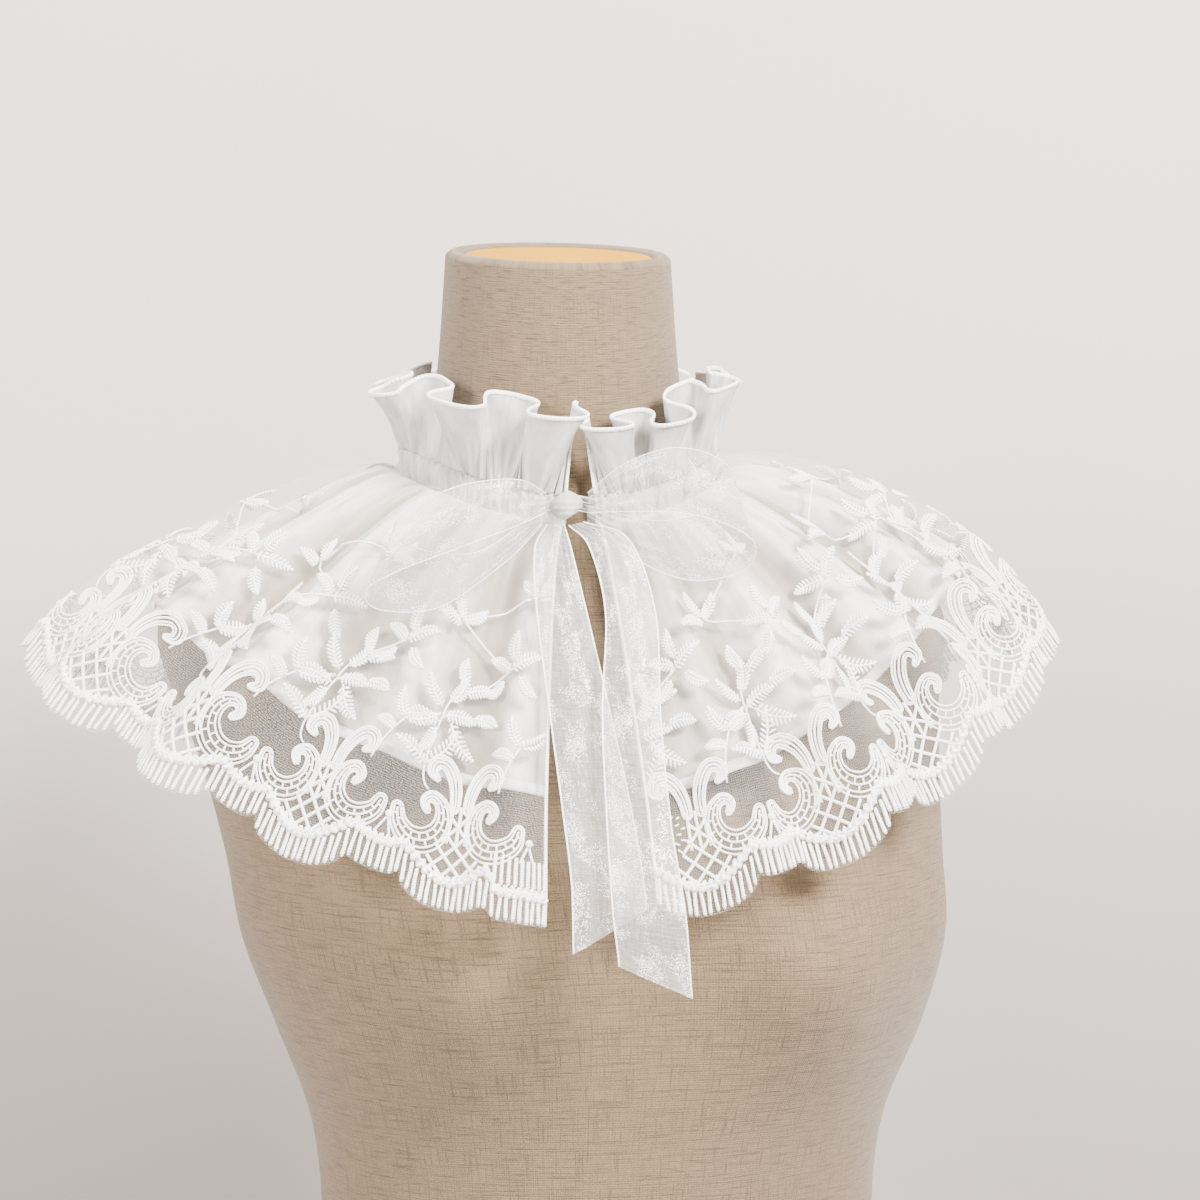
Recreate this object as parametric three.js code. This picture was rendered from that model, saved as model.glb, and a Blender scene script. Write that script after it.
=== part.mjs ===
// Lace capelet collar with a ruffled stand and an organza bow, worn on a limbless linen dress form.
// Millimetres, +Z up. The collar's front faces -Y and the form stands on z = 0.
// Angles run round the neck in degrees: 0 at the centre front, positive towards +X, 180 at the back.
import * as THREE from "three";

// ---------------------------------------------------------------- driving dimensions

const CLOTH = 1.0; // wall of every cloth layer
const RIBBON_WALL = 0.8;
const SEAM_GAP = 0.3; // between two pieces sewn together
const SEAM_INSET = 0.4; // how far the casing and the frill sit in from the neck seam
const PANEL_GAP = 0.45; // between two panels of the cape, measured along their middles
const REPEATS = 20; // scallop repeats round the hem
const COLUMNS_PER_REPEAT = 9;
const LINING_SHARE = 0.7; // the lining ends at this share of the cape's length
const LINING_DROP = { neck: 1.5, below: 3.9 }; // lining under the lace, wall middle to wall middle
const LINING_FOLDS = 0.62; // share of the lace's folds that the lining follows

const SCALLOP = { largeShare: 0.66, largeDepth: 10.5, smallDepth: 3.2 }; // depths along the cloth
const LOOSE_CORNER = { depth: 11.5, width: 0.017 }; // at the left front edge, as a share of the hem
const GATHER = { columns: 3, depth: 1.6, reach: 0.3 }; // each gather spans this many columns of cloth
// Half angles of the open front: at the neck, at each side's hem, and how much wider between them.
const FRONT_OPENING = { neck: 5, leftHem: 6.5, rightHem: 5.5, leftSwell: 2.5, rightSwell: 1 };

const CASING = { height: 7.4, gather: 0.9, columns: 124 };
const FRILL = {
  height: 36,
  flare: 5,
  swing: 9.5,
  tilt: 3.8, // how far the crests' top edges hang below the middle, and the valleys' stand above it
  splay: 0.42, // how far the top leans out, in radians
  gap: 8.6, // how far its front ends are drawn apart at the seam, in degrees
  overhang: 0.17, // how far each crest loops over sideways, as a share of a flute
  columnsPerFlute: 14,
};
const RIBBON_WIDTH = 28;
const NECK_CAP = { radius: 39.5, thickness: 4, recess: 3.2, clearance: 0.3 };

// Half sections of the dress form at each height. sway is how far the section's middle lies towards
// +X, lean is its rise from front to back per millimetre,
// round is the superellipse power: 2 is an ellipse, more is boxier.
const FORM_SECTIONS = [
  { height: 0, halfWidth: 156, front: 98, back: 100, sway: 17, lean: 0, round: 2.3 },
  { height: 60, halfWidth: 150, front: 97, back: 98, sway: 17, lean: 0, round: 2.3 },
  { height: 120, halfWidth: 131, front: 90, back: 83, sway: 17, lean: 0, round: 2.2 },
  { height: 175, halfWidth: 119, front: 86, back: 70, sway: 17, lean: 0, round: 2.2 },
  { height: 225, halfWidth: 122.5, front: 93, back: 75, sway: 17, lean: 0, round: 2.2 },
  { height: 270, halfWidth: 139.5, front: 103, back: 84, sway: 18, lean: 0, round: 2.2 },
  { height: 305, halfWidth: 150.5, front: 109, back: 90, sway: 16, lean: 0, round: 2.2 },
  { height: 340, halfWidth: 153, front: 107, back: 93, sway: 12, lean: 0, round: 2.2 },
  { height: 375, halfWidth: 157, front: 99, back: 91, sway: 7, lean: 0, round: 2.2 },
  { height: 405, halfWidth: 163, front: 88, back: 87, sway: 2, lean: 0, round: 2.1 },
  { height: 426, halfWidth: 168, front: 80, back: 82, sway: 0, lean: 0, round: 2.0 },
  { height: 441, halfWidth: 167, front: 74, back: 78, sway: 0, lean: 0.01, round: 1.9 },
  { height: 454, halfWidth: 156, front: 69, back: 73, sway: 0, lean: 0.03, round: 1.8 },
  { height: 467, halfWidth: 136, front: 65, back: 69, sway: 0, lean: 0.06, round: 1.75 },
  { height: 479, halfWidth: 112, front: 61.5, back: 65, sway: 0, lean: 0.09, round: 1.75 },
  { height: 488, halfWidth: 85, front: 59, back: 61, sway: 0, lean: 0.12, round: 1.85 },
  { height: 493, halfWidth: 65, front: 57, back: 57.4, sway: 0, lean: 0.14, round: 1.95 },
  { height: 500, halfWidth: 56.2, front: 55.8, back: 55.6, sway: 0, lean: 0.16, round: 2 },
  { height: 511, halfWidth: 54.4, front: 54.5, back: 54.5, sway: 0, lean: 0.17, round: 2 },
  { height: 550, halfWidth: 50.4, front: 52, back: 49, sway: 0, lean: 0.17, round: 2 },
  { height: 590, halfWidth: 47.6, front: 50, back: 45, sway: 0, lean: 0.16, round: 2 },
];
const FORM_COLUMNS = 40;
const NECK_RIM = { round: 2.6, width: 5.2 };
const BUST = { height: 300, apart: 150, reach: 19, spreadAcross: 36, spreadUp: 44 };

// Where the valleys of the cape's folds lie, at shares of its length from neck seam to hem.
const CAPE_SECTIONS = [
  { share: 0, side: 67, sideHeight: 500, front: 64, frontHeight: 481, back: 64, backHeight: 510 },
  { share: 0.06, side: 76, sideHeight: 498.5, front: 68, frontHeight: 474, back: 69, backHeight: 504 },
  { share: 0.14, side: 89, sideHeight: 494.5, front: 74, frontHeight: 464, back: 75, backHeight: 492 },
  { share: 0.3, side: 113, sideHeight: 482.5, front: 87, frontHeight: 440, back: 86, backHeight: 461 },
  { share: 0.5, side: 143, sideHeight: 465.5, front: 103, frontHeight: 406, back: 97, backHeight: 425 },
  { share: 0.7, side: 174, sideHeight: 448.5, front: 117, frontHeight: 374, back: 104, backHeight: 389 },
  { share: 0.85, side: 193, sideHeight: 435, front: 125, frontHeight: 354, back: 107, backHeight: 362 },
  { share: 1, side: 208, sideHeight: 419, front: 131, frontHeight: 338, back: 109, backHeight: 337 },
  { share: 1.15, side: 221.5, sideHeight: 401, front: 137, frontHeight: 317, back: 110.5, backHeight: 311.5 },
];
const CAPE_FULLNESS = 0.86; // power of the cosine front to back: under 1 is boxier than an ellipse
// How the cape differs towards +X and towards -X: how much it puffs up half way down, how far its
// hem reaches as a share of the table's, and how far the hem lifts.
const CAPE_SIDES = {
  plus: { puff: 10, reach: 0.955, lift: 9 },
  minus: { puff: 0.5, reach: 1.005, lift: 1 },
};
const CAPE_PANELS = ["front_right", "back_right", "back_left", "front_left"]; // of equal width

// The largest folds: the angle of each ridge, its half width in degrees and its height at the hem.
const FOLDS = [
  { angle: 18, spread: 7, height: 8 },
  { angle: 33, spread: 9, height: 15 },
  { angle: 51, spread: 9, height: 15 },
  { angle: 68, spread: 9, height: 13 },
  { angle: 86, spread: 10, height: 14 },
  { angle: 104, spread: 8, height: 12 },
  { angle: 121, spread: 9, height: 13 },
  { angle: 139, spread: 9, height: 15 },
  { angle: 157, spread: 9, height: 12 },
  { angle: 175, spread: 9, height: 14 },
  { angle: 193, spread: 9, height: 11 },
  { angle: 211, spread: 9, height: 15 },
  { angle: 229, spread: 8, height: 12 },
  { angle: 246, spread: 9, height: 14 },
  { angle: 264, spread: 10, height: 18 },
  { angle: 289, spread: 10, height: 15 },
  { angle: 311, spread: 10, height: 17 },
  { angle: 332, spread: 10, height: 9 },
  { angle: 349, spread: 7, height: 11 },
];

// The flutes of the frill, from the right front edge round the back to the left front edge:
// the angle of each outermost crest, how far it reaches, and how far its top edge rises or drops.
const FLUTES = [
  { angle: 7.5, reach: 0.85, rise: -3 },
  { angle: 30, reach: 1, rise: -4 },
  { angle: 54, reach: 0.9, rise: 3 },
  { angle: 84, reach: 0.5, rise: -2 },
  { angle: 112, reach: 0.9, rise: -3 },
  { angle: 140, reach: 1, rise: -2 },
  { angle: 168, reach: 1, rise: -2 },
  { angle: 196, reach: 1, rise: -2 },
  { angle: 224, reach: 1, rise: -2 },
  { angle: 252, reach: 0.9, rise: -3 },
  { angle: 282, reach: 1.15, rise: -5 },
  { angle: 319, reach: 1, rise: 0 },
  { angle: 352.5, reach: 1.05, rise: 2 },
];

const KNOT = { x: -8, y: -77, z: 487, width: 15, depth: 12, height: 15 };

// Routes of the ribbon, from the middle of the knot: where the ribbon's middle runs, how wide it
// is there, and how far its upper edge leans towards +X, in degrees.
const LOOP_LEFT = [
  { x: -8.5, y: -3, z: 1, width: 8, lean: 4 },
  { x: -22, y: -14, z: 1, width: 19, lean: 6 },
  { x: -45, y: -23, z: -4, width: 26, lean: 10 },
  { x: -66, y: -26, z: -12, width: RIBBON_WIDTH, lean: 18 },
  { x: -76, y: -23, z: -20, width: RIBBON_WIDTH, lean: 24 },
  { x: -69, y: -17, z: -28, width: RIBBON_WIDTH, lean: 30 },
  { x: -46, y: -16, z: -29, width: 26, lean: 34 },
  { x: -24, y: -10, z: -16, width: 18, lean: 26 },
  { x: -8.5, y: 1, z: -4, width: 7, lean: 10 },
];
const LOOP_RIGHT = [
  { x: 8.5, y: -3, z: 1, width: 8, lean: 0 },
  { x: 22, y: -13, z: 7, width: 19, lean: -4 },
  { x: 41, y: -20, z: 10, width: 26, lean: -8 },
  { x: 59, y: -20, z: 6, width: RIBBON_WIDTH, lean: -12 },
  { x: 70, y: -14, z: -3, width: RIBBON_WIDTH, lean: -18 },
  { x: 64, y: -8, z: -14, width: RIBBON_WIDTH, lean: -24 },
  { x: 43, y: -8, z: -18, width: 26, lean: -24 },
  { x: 23, y: -6, z: -12, width: 18, lean: -16 },
  { x: 8.6, y: 1.2, z: -3.4, width: 6.6, lean: -6 },
];
const TAIL_LEFT = [
  { x: -4.4, y: -2, z: -7.4, width: 7, lean: 90 },
  { x: -6, y: -7, z: -18, width: 15, lean: 92 },
  { x: -4, y: -17, z: -42, width: 20, lean: 92 },
  { x: 0.5, y: -35, z: -80, width: 24, lean: 92 },
  { x: 4.5, y: -52, z: -116, width: 27, lean: 92 },
  { x: 6.5, y: -65, z: -142, width: RIBBON_WIDTH, lean: 93 },
  { x: 6.5, y: -70, z: -160, width: RIBBON_WIDTH, lean: 94 },
];
const TAIL_RIGHT = [
  { x: 3.9, y: -2.2, z: -7.3, width: 6.2, lean: 78 },
  { x: 16, y: -9.5, z: -15, width: 16, lean: 78 },
  { x: 22.5, y: -22, z: -42, width: 20, lean: 90 },
  { x: 19.5, y: -42, z: -80, width: 23, lean: 93 },
  { x: 19, y: -61, z: -118, width: 25, lean: 94 },
  { x: 20.5, y: -75, z: -150, width: RIBBON_WIDTH, lean: 94 },
  { x: 22.5, y: -79, z: -178, width: RIBBON_WIDTH, lean: 94 },
];
const LEAD_LEFT = [
  { x: -4, y: 6.6, z: 1, width: 6, lean: 0 },
  { x: -6.5, y: 10.3, z: 0.5, width: 6, lean: 4 },
  { x: -9, y: 13.7, z: 0, width: 6, lean: 6 },
];
const LEAD_RIGHT = [
  { x: 4, y: 6.6, z: 1, width: 6, lean: 0 },
  { x: 9.5, y: 9.2, z: 0, width: 6, lean: -4 },
  { x: 14.5, y: 11.4, z: -1, width: 6, lean: -6 },
];
const TAIL_CUTS = { left: -18, right: 11 }; // how far the slanted cut drops across the ribbon

const FINISHES = {
  linen: { color: 0xc0af9c, roughness: 0.9, metalness: 0 },
  wood: { color: 0xe2c9a4, roughness: 0.55, metalness: 0 },
  lace: { color: 0xf7f5f2, roughness: 0.75, metalness: 0 },
  lining: { color: 0xefebe6, roughness: 0.7, metalness: 0 },
  organza: { color: 0xf4f3f2, roughness: 0.35, metalness: 0 },
};

// ---------------------------------------------------------------- curves through tables

const radians = THREE.MathUtils.degToRad;
const clamp = THREE.MathUtils.clamp;
const smooth = (x) => THREE.MathUtils.smoothstep(x, 0, 1);

// A smooth value of one column of a table, at a place along its key column (Catmull-Rom).
function valueAt(table, key, column, place) {
  const last = table.length - 1;
  let row = 0;
  while (row < last - 1 && place > table[row + 1][key]) row += 1;
  const before = table[Math.max(row - 1, 0)];
  const [from, to] = [table[row], table[row + 1]];
  const after = table[Math.min(row + 2, last)];
  const span = to[key] - from[key];
  const x = (place - from[key]) / span;
  const slopeFrom = ((to[column] - before[column]) / Math.max(to[key] - before[key], 1e-9)) * span;
  const slopeTo = ((after[column] - from[column]) / Math.max(after[key] - from[key], 1e-9)) * span;
  return (
    (2 * x ** 3 - 3 * x ** 2 + 1) * from[column] +
    (x ** 3 - 2 * x ** 2 + x) * slopeFrom +
    (3 * x ** 2 - 2 * x ** 3) * to[column] +
    (x ** 3 - x ** 2) * slopeTo
  );
}

// The same, for a table whose rows are evenly spaced: place counts rows.
function routeAt(table, column, place) {
  const rows = table.map((row, index) => ({ ...row, index }));
  return valueAt(rows, "index", column, place);
}

// ---------------------------------------------------------------- solids from grids

function meshOf(name, finish, positions, triangles) {
  const geometry = new THREE.BufferGeometry();
  geometry.setAttribute("position", new THREE.Float32BufferAttribute(positions, 3));
  geometry.setIndex(triangles);
  geometry.computeVertexNormals();
  const mesh = new THREE.Mesh(geometry, new THREE.MeshStandardMaterial(finish));
  mesh.name = name;
  return mesh;
}

// Unit normals of a grid of points, from the neighbours of each point along its row and column.
function gridNormals(grid) {
  const rows = grid.length;
  const columns = grid[0].length;
  return grid.map((row, r) =>
    row.map((_, c) => {
      const along = row[Math.min(c + 1, columns - 1)].clone().sub(row[Math.max(c - 1, 0)]);
      const down = grid[Math.min(r + 1, rows - 1)][c].clone().sub(grid[Math.max(r - 1, 0)][c]);
      return along.cross(down).normalize();
    }),
  );
}

// A closed cloth wall: the grid is the wall's middle, its two faces lie half the thickness away,
// and the four edges are closed. Rows run one way and columns the other.
function clothWall(name, finish, grid, thickness = CLOTH, normals = gridNormals(grid)) {
  const rows = grid.length;
  const columns = grid[0].length;
  const positions = [];
  for (const side of [0.5, -0.5]) {
    grid.forEach((row, r) =>
      row.forEach((point, c) => {
        const moved = point.clone().addScaledVector(normals[r][c], side * thickness);
        positions.push(moved.x, moved.y, moved.z);
      }),
    );
  }
  const at = (side, r, c) => side * rows * columns + r * columns + c;
  const triangles = [];
  const quad = (a, b, c, d) => triangles.push(a, b, c, a, c, d);
  for (let r = 0; r < rows - 1; r += 1) {
    for (let c = 0; c < columns - 1; c += 1) {
      quad(at(0, r, c), at(0, r, c + 1), at(0, r + 1, c + 1), at(0, r + 1, c));
      quad(at(1, r, c), at(1, r + 1, c), at(1, r + 1, c + 1), at(1, r, c + 1));
    }
  }
  for (let c = 0; c < columns - 1; c += 1) {
    quad(at(1, 0, c), at(1, 0, c + 1), at(0, 0, c + 1), at(0, 0, c));
    quad(at(0, rows - 1, c), at(0, rows - 1, c + 1), at(1, rows - 1, c + 1), at(1, rows - 1, c));
  }
  for (let r = 0; r < rows - 1; r += 1) {
    quad(at(0, r, 0), at(0, r + 1, 0), at(1, r + 1, 0), at(1, r, 0));
    quad(at(1, r, columns - 1), at(1, r + 1, columns - 1), at(0, r + 1, columns - 1), at(0, r, columns - 1));
  }
  return meshOf(name, finish, positions, triangles);
}

// A closed solid through closed rings, from the lowest to the last, with a pole at each end.
function ringSolid(name, finish, rings) {
  const columns = rings[0].length;
  const middle = (ring) =>
    ring.reduce((sum, point) => sum.add(point), new THREE.Vector3()).divideScalar(columns);
  const positions = [];
  rings.flat().forEach((point) => positions.push(point.x, point.y, point.z));
  const ends = [middle(rings[0]), middle(rings[rings.length - 1])];
  ends.forEach((point) => positions.push(point.x, point.y, point.z));
  const firstPole = rings.length * columns;
  const triangles = [];
  for (let c = 0; c < columns; c += 1) {
    const next = (c + 1) % columns;
    triangles.push(firstPole, next, c);
    const top = (rings.length - 1) * columns;
    triangles.push(firstPole + 1, top + c, top + next);
    for (let r = 0; r < rings.length - 1; r += 1) {
      const low = r * columns;
      const high = low + columns;
      triangles.push(low + c, low + next, high + next, low + c, high + next, high + c);
    }
  }
  return meshOf(name, finish, positions, triangles);
}

// ---------------------------------------------------------------- the dress form

const signedPower = (value, power) => Math.sign(value) * Math.abs(value) ** power;

// A point of the form's skin, at a height and an angle round the neck's axis.
function formPoint(height, angle, inset = 0, sink = 0) {
  const at = (column) => valueAt(FORM_SECTIONS, "height", column, height);
  const [sine, cosine] = [Math.sin(radians(angle)), Math.cos(radians(angle))];
  const power = 2 / at("round");
  const reach = at(cosine > 0 ? "front" : "back") - inset;
  const x = (at("halfWidth") - inset) * signedPower(sine, power);
  const sway = at("sway");
  let y = -reach * signedPower(cosine, power);
  const across = (Math.abs(x) - BUST.apart / 2) / BUST.spreadAcross;
  const up = (height - BUST.height) / BUST.spreadUp;
  y -= BUST.reach * smooth(cosine * 1.6) * Math.exp(-(across ** 2) - up ** 2);
  return new THREE.Vector3(x + sway, y, height + at("lean") * y - sink);
}

function formRing(height, inset = 0, sink = 0) {
  return Array.from({ length: FORM_COLUMNS }, (_, c) =>
    formPoint(height, (360 * c) / FORM_COLUMNS, inset, sink),
  );
}

// The linen body: its sections, a rounded rim at the top of the neck, and the recess of the cap.
function dressForm() {
  const top = FORM_SECTIONS[FORM_SECTIONS.length - 1].height;
  const rings = FORM_SECTIONS.map((section) => formRing(section.height));
  rings.push(formRing(top, 0, -NECK_RIM.round * 0.6));
  rings.push(formRing(top, NECK_RIM.round, -NECK_RIM.round));
  rings.push(formRing(top, NECK_RIM.width, -NECK_RIM.round * 0.7));
  rings.push(capRing(NECK_CAP.radius + NECK_CAP.clearance, NECK_RIM.round * 0.4));
  rings.push(capRing(NECK_CAP.radius + NECK_CAP.clearance, -NECK_CAP.recess));
  return ringSolid("form_torso", FINISHES.linen, rings);
}

// A round ring in the plane of the neck's top, above or below it by lift.
function capRing(radius, lift) {
  const section = FORM_SECTIONS[FORM_SECTIONS.length - 1];
  const middle = (section.back - section.front) / 2;
  return Array.from({ length: FORM_COLUMNS }, (_, c) => {
    const angle = radians((360 * c) / FORM_COLUMNS);
    const y = middle - radius * Math.cos(angle);
    return new THREE.Vector3(radius * Math.sin(angle), y, section.height + section.lean * y + lift);
  });
}

// The pale wooden disc let into the top of the neck.
function neckCap() {
  const floor = NECK_CAP.clearance - NECK_CAP.recess;
  const bevel = 0.8;
  return ringSolid("form_neck_cap", FINISHES.wood, [
    capRing(NECK_CAP.radius, floor),
    capRing(NECK_CAP.radius, floor + NECK_CAP.thickness - bevel),
    capRing(NECK_CAP.radius - bevel, floor + NECK_CAP.thickness),
  ]);
}

// ---------------------------------------------------------------- the cape and its lining

// The surface through the valleys of the folds, at an angle and a share of the cape's length.
function capeGround(angle, share) {
  const at = (column) => valueAt(CAPE_SECTIONS, "share", column, share);
  const [sine, cosine] = [Math.sin(radians(angle)), Math.cos(radians(angle))];
  const end = cosine > 0 ? "front" : "back";
  const y = -at(end) * signedPower(cosine, CAPE_FULLNESS);
  const drop = at(`${end}Height`) - at("sideHeight");
  const { puff, reach, lift } = CAPE_SIDES[sine > 0 ? "plus" : "minus"];
  const x = at("side") * sine * (1 + (reach - 1) * share);
  const raised = (puff * Math.sin(Math.PI * clamp(share, 0, 1)) + lift * share) * sine ** 2;
  return new THREE.Vector3(x, y, at("sideHeight") + drop * cosine ** 2 + raised);
}

function capeNormal(angle, share) {
  const step = { angle: 0.5, share: 0.01 };
  const round = capeGround(angle + step.angle, share).sub(capeGround(angle - step.angle, share));
  const low = Math.max(share - step.share, 0);
  const down = capeGround(angle, low + 2 * step.share).sub(capeGround(angle, low));
  return down.cross(round).normalize();
}

// How far the folds stand off the valleys.
function foldLift(angle, share) {
  const rise = Math.sin(Math.min(share, 1) * 0.5 * Math.PI) ** 0.65;
  return FOLDS.reduce((sum, fold) => {
    const away = Math.abs(((angle - fold.angle + 540) % 360) - 180) / fold.spread;
    return sum + (away < 1 ? fold.height * rise * Math.cos(0.5 * Math.PI * away) ** 2 : 0);
  }, 0);
}

// The small gathers under the neck seam, which rise from the seam and run out down the cloth.
function gatherLift(column, share) {
  const fade = smooth(share / 0.05) * (1 - smooth(share / GATHER.reach));
  const phase = (2 * Math.PI * column) / GATHER.columns;
  return GATHER.depth * fade * (0.5 + 0.5 * Math.cos(phase));
}

function capePoint(angle, share, lift) {
  return capeGround(angle, share).addScaledVector(capeNormal(angle, share), lift);
}

// Angles of the columns, evenly spaced along the cloth of the hem from front edge to front edge.
function hemAngles(count) {
  const samples = 2400;
  const start = FRONT_OPENING.rightHem;
  const sweep = 360 - FRONT_OPENING.leftHem - start;
  const angles = Array.from({ length: samples + 1 }, (_, i) => start + (sweep * i) / samples);
  const points = angles.map((angle) => capePoint(angle, 1, foldLift(angle, 1)));
  const lengths = [0];
  for (let i = 1; i <= samples; i += 1) {
    lengths.push(lengths[i - 1] + points[i].distanceTo(points[i - 1]));
  }
  const total = lengths[samples];
  let i = 0;
  return Array.from({ length: count + 1 }, (_, k) => {
    const wanted = (total * k) / count;
    while (i < samples - 1 && lengths[i + 1] < wanted) i += 1;
    const part = (wanted - lengths[i]) / (lengths[i + 1] - lengths[i]);
    return angles[i] + (angles[i + 1] - angles[i]) * clamp(part, 0, 1);
  });
}

// Where a column of the cloth lies at a share of its length: the front edges swell apart below the
// neck and come closer together again at the hem.
function openedAngle(angle, share) {
  const { neck, leftHem, rightHem, leftSwell, rightSwell } = FRONT_OPENING;
  const along = (angle - rightHem) / (360 - leftHem - rightHem);
  const down = clamp(share, 0, 1);
  const edge = (hem, swell) =>
    THREE.MathUtils.lerp(neck, hem, down ** 1.3) + swell * Math.sin(Math.PI * Math.sqrt(down));
  return THREE.MathUtils.lerp(edge(rightHem, rightSwell), 360 - edge(leftHem, leftSwell), along);
}

// Depth of the scalloped edge below its cusps: one large and one small arc in each repeat.
function scallopDepth(along) {
  const place = (along * REPEATS) % 1;
  const large = SCALLOP.largeShare;
  const arc = (x) => Math.sqrt(Math.max(0, 1 - (2 * x - 1) ** 2));
  return place < large
    ? SCALLOP.largeDepth * arc(place / large)
    : SCALLOP.smallDepth * arc((place - large) / (1 - large));
}

// The same edge, with the corner of the left front that hangs loose below the rest.
function edgeDepth(along) {
  const corner = smooth((along - 1 + 1.3 * LOOSE_CORNER.width) / (0.3 * LOOSE_CORNER.width));
  return THREE.MathUtils.lerp(scallopDepth(along), LOOSE_CORNER.depth, corner);
}

// Length of cloth for one unit of share, measured just above the cusps.
function hemStretch(angle) {
  const step = 0.05;
  return capeGround(angle, 1).distanceTo(capeGround(angle, 1 - step)) / step;
}

// A panel's edge point, drawn in by half the seam's gap towards the next point of the panel.
function drawnIn(point, inner) {
  return point.clone().lerp(inner, (0.5 * PANEL_GAP) / point.distanceTo(inner));
}

function laceCape() {
  const columns = REPEATS * COLUMNS_PER_REPEAT;
  const angles = hemAngles(columns);
  const shares = [0, 0.05, 0.13, 0.28, 0.48, 0.68, 0.87, 1];
  const grid = shares.map((share) =>
    angles.map((hemAngle, c) => {
      const along = c / columns;
      const reach = share === 1 ? 1 + edgeDepth(along) / hemStretch(hemAngle) : share;
      const angle = openedAngle(hemAngle, share);
      return capePoint(angle, reach, foldLift(angle, reach) + gatherLift(c, share));
    }),
  );
  const normals = gridNormals(grid);
  const width = columns / CAPE_PANELS.length;
  return CAPE_PANELS.map((panel, p) => {
    const [first, last] = [p * width, (p + 1) * width];
    const cut = grid.map((row) => {
      const points = row.slice(first, last + 1);
      if (first > 0) points[0] = drawnIn(row[first], row[first + 1]);
      if (last < columns) points[width] = drawnIn(row[last], row[last - 1]);
      return points;
    });
    const facing = normals.map((row) => row.slice(first, last + 1));
    return clothWall(`lace_cape_${panel}`, FINISHES.lace, cut, CLOTH, facing);
  });
}

function capeLining() {
  const columns = (REPEATS * COLUMNS_PER_REPEAT) / 2;
  const angles = hemAngles(columns);
  const shares = [0.004, 0.14, 0.34, 0.54, LINING_SHARE];
  const grid = shares.map((share) => {
    const drop = THREE.MathUtils.lerp(LINING_DROP.neck, LINING_DROP.below, smooth(share / 0.14));
    return angles.map((hemAngle) => {
      const angle = openedAngle(hemAngle, share);
      return capePoint(angle, share, LINING_FOLDS * foldLift(angle, share) - drop);
    });
  });
  return clothWall("cape_lining", FINISHES.lining, grid);
}

// ---------------------------------------------------------------- the neck casing and the frill

const CASING_BOTTOM = CLOTH / 2 + SEAM_GAP + 0.5;
const FRILL_BOTTOM = CASING_BOTTOM + CASING.height + SEAM_GAP + 0.4;

// The seam round the neck, above the cape's top edge by lift and out from it by out.
function seamPoint(angle, lift, out) {
  const point = capeGround(angle, 0);
  const away = new THREE.Vector3(Math.sin(radians(angle)), -Math.cos(radians(angle)), 0);
  point.addScaledVector(away, out);
  point.z += lift;
  return point;
}

function neckCasing() {
  const lifts = [CASING_BOTTOM, CASING_BOTTOM + CASING.height];
  const grid = lifts.map((lift) =>
    Array.from({ length: CASING.columns + 1 }, (_, c) => {
      const along = c / CASING.columns;
      const angle = FRONT_OPENING.neck + along * (360 - 2 * FRONT_OPENING.neck);
      const gather = CASING.gather * Math.cos(Math.PI * c);
      return seamPoint(angle, lift, 0.5 * gather - SEAM_INSET);
    }),
  );
  return clothWall("neck_casing", FINISHES.lace, grid);
}

// The frill's path: place counts flutes, share runs from the seam to the top edge.
function frillPoint(place, share) {
  const index = clamp(place, 0, FLUTES.length - 1);
  const pitch = 360 / FLUTES.length;
  const spread = place - index;
  const angle = routeAt(FLUTES, "angle", index) + spread * pitch;
  const turn = 2 * Math.PI * place;
  const opened = share ** 0.8;
  const swing = FRILL.swing * routeAt(FLUTES, "reach", index) * opened;
  const out = -SEAM_INSET + FRILL.flare * share ** 1.25 + swing * Math.cos(turn);
  const overhang = FRILL.overhang * pitch * Math.sin(2 * turn) * opened;
  const parted = FRILL.gap * (1 - share) * (smooth(1 - place) - smooth(place - FLUTES.length + 2));
  const rise = routeAt(FLUTES, "rise", index) * share;
  const tilt = FRILL.tilt * routeAt(FLUTES, "reach", index) * share ** 1.3 * Math.cos(turn);
  const up = FRILL.height * Math.cos(FRILL.splay * share) * share - tilt;
  return seamPoint(angle + overhang + parted, FRILL_BOTTOM + up + rise, out);
}

function collarFrill() {
  const edge = 0.4; // how far the frill runs past its first and last crest, in flutes
  const columns = Math.round((FLUTES.length - 1 + 2 * edge) * FRILL.columnsPerFlute);
  const shares = [0, 0.4, 1];
  const grid = shares.map((share) =>
    Array.from({ length: columns + 1 }, (_, c) => {
      const place = -edge + (c / columns) * (FLUTES.length - 1 + 2 * edge);
      return frillPoint(place, share);
    }),
  );
  return clothWall("collar_frill", FINISHES.lace, grid);
}

// ---------------------------------------------------------------- the ribbon

// A ribbon laid along a route from the knot. cut slants its last end.
function ribbon(name, route, steps, cut = 0) {
  const across = [-0.5, -0.17, 0.17, 0.5];
  const grid = across.map((side) =>
    Array.from({ length: steps + 1 }, (_, s) => {
      const place = ((route.length - 1) * s) / steps;
      const at = (column) => routeAt(route, column, place);
      const lean = radians(at("lean"));
      const reach = side * at("width");
      const slant = cut * side * 2 * smooth(place - route.length + 2);
      const crown = -1.2 * (1 - 4 * side ** 2) * Math.min(1, at("width") / RIBBON_WIDTH);
      return new THREE.Vector3(
        KNOT.x + at("x") + reach * Math.sin(lean),
        KNOT.y + at("y") + crown,
        KNOT.z + at("z") + reach * Math.cos(lean) - slant * 0.5,
      );
    }),
  );
  return clothWall(name, FINISHES.organza, grid, RIBBON_WALL);
}

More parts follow.
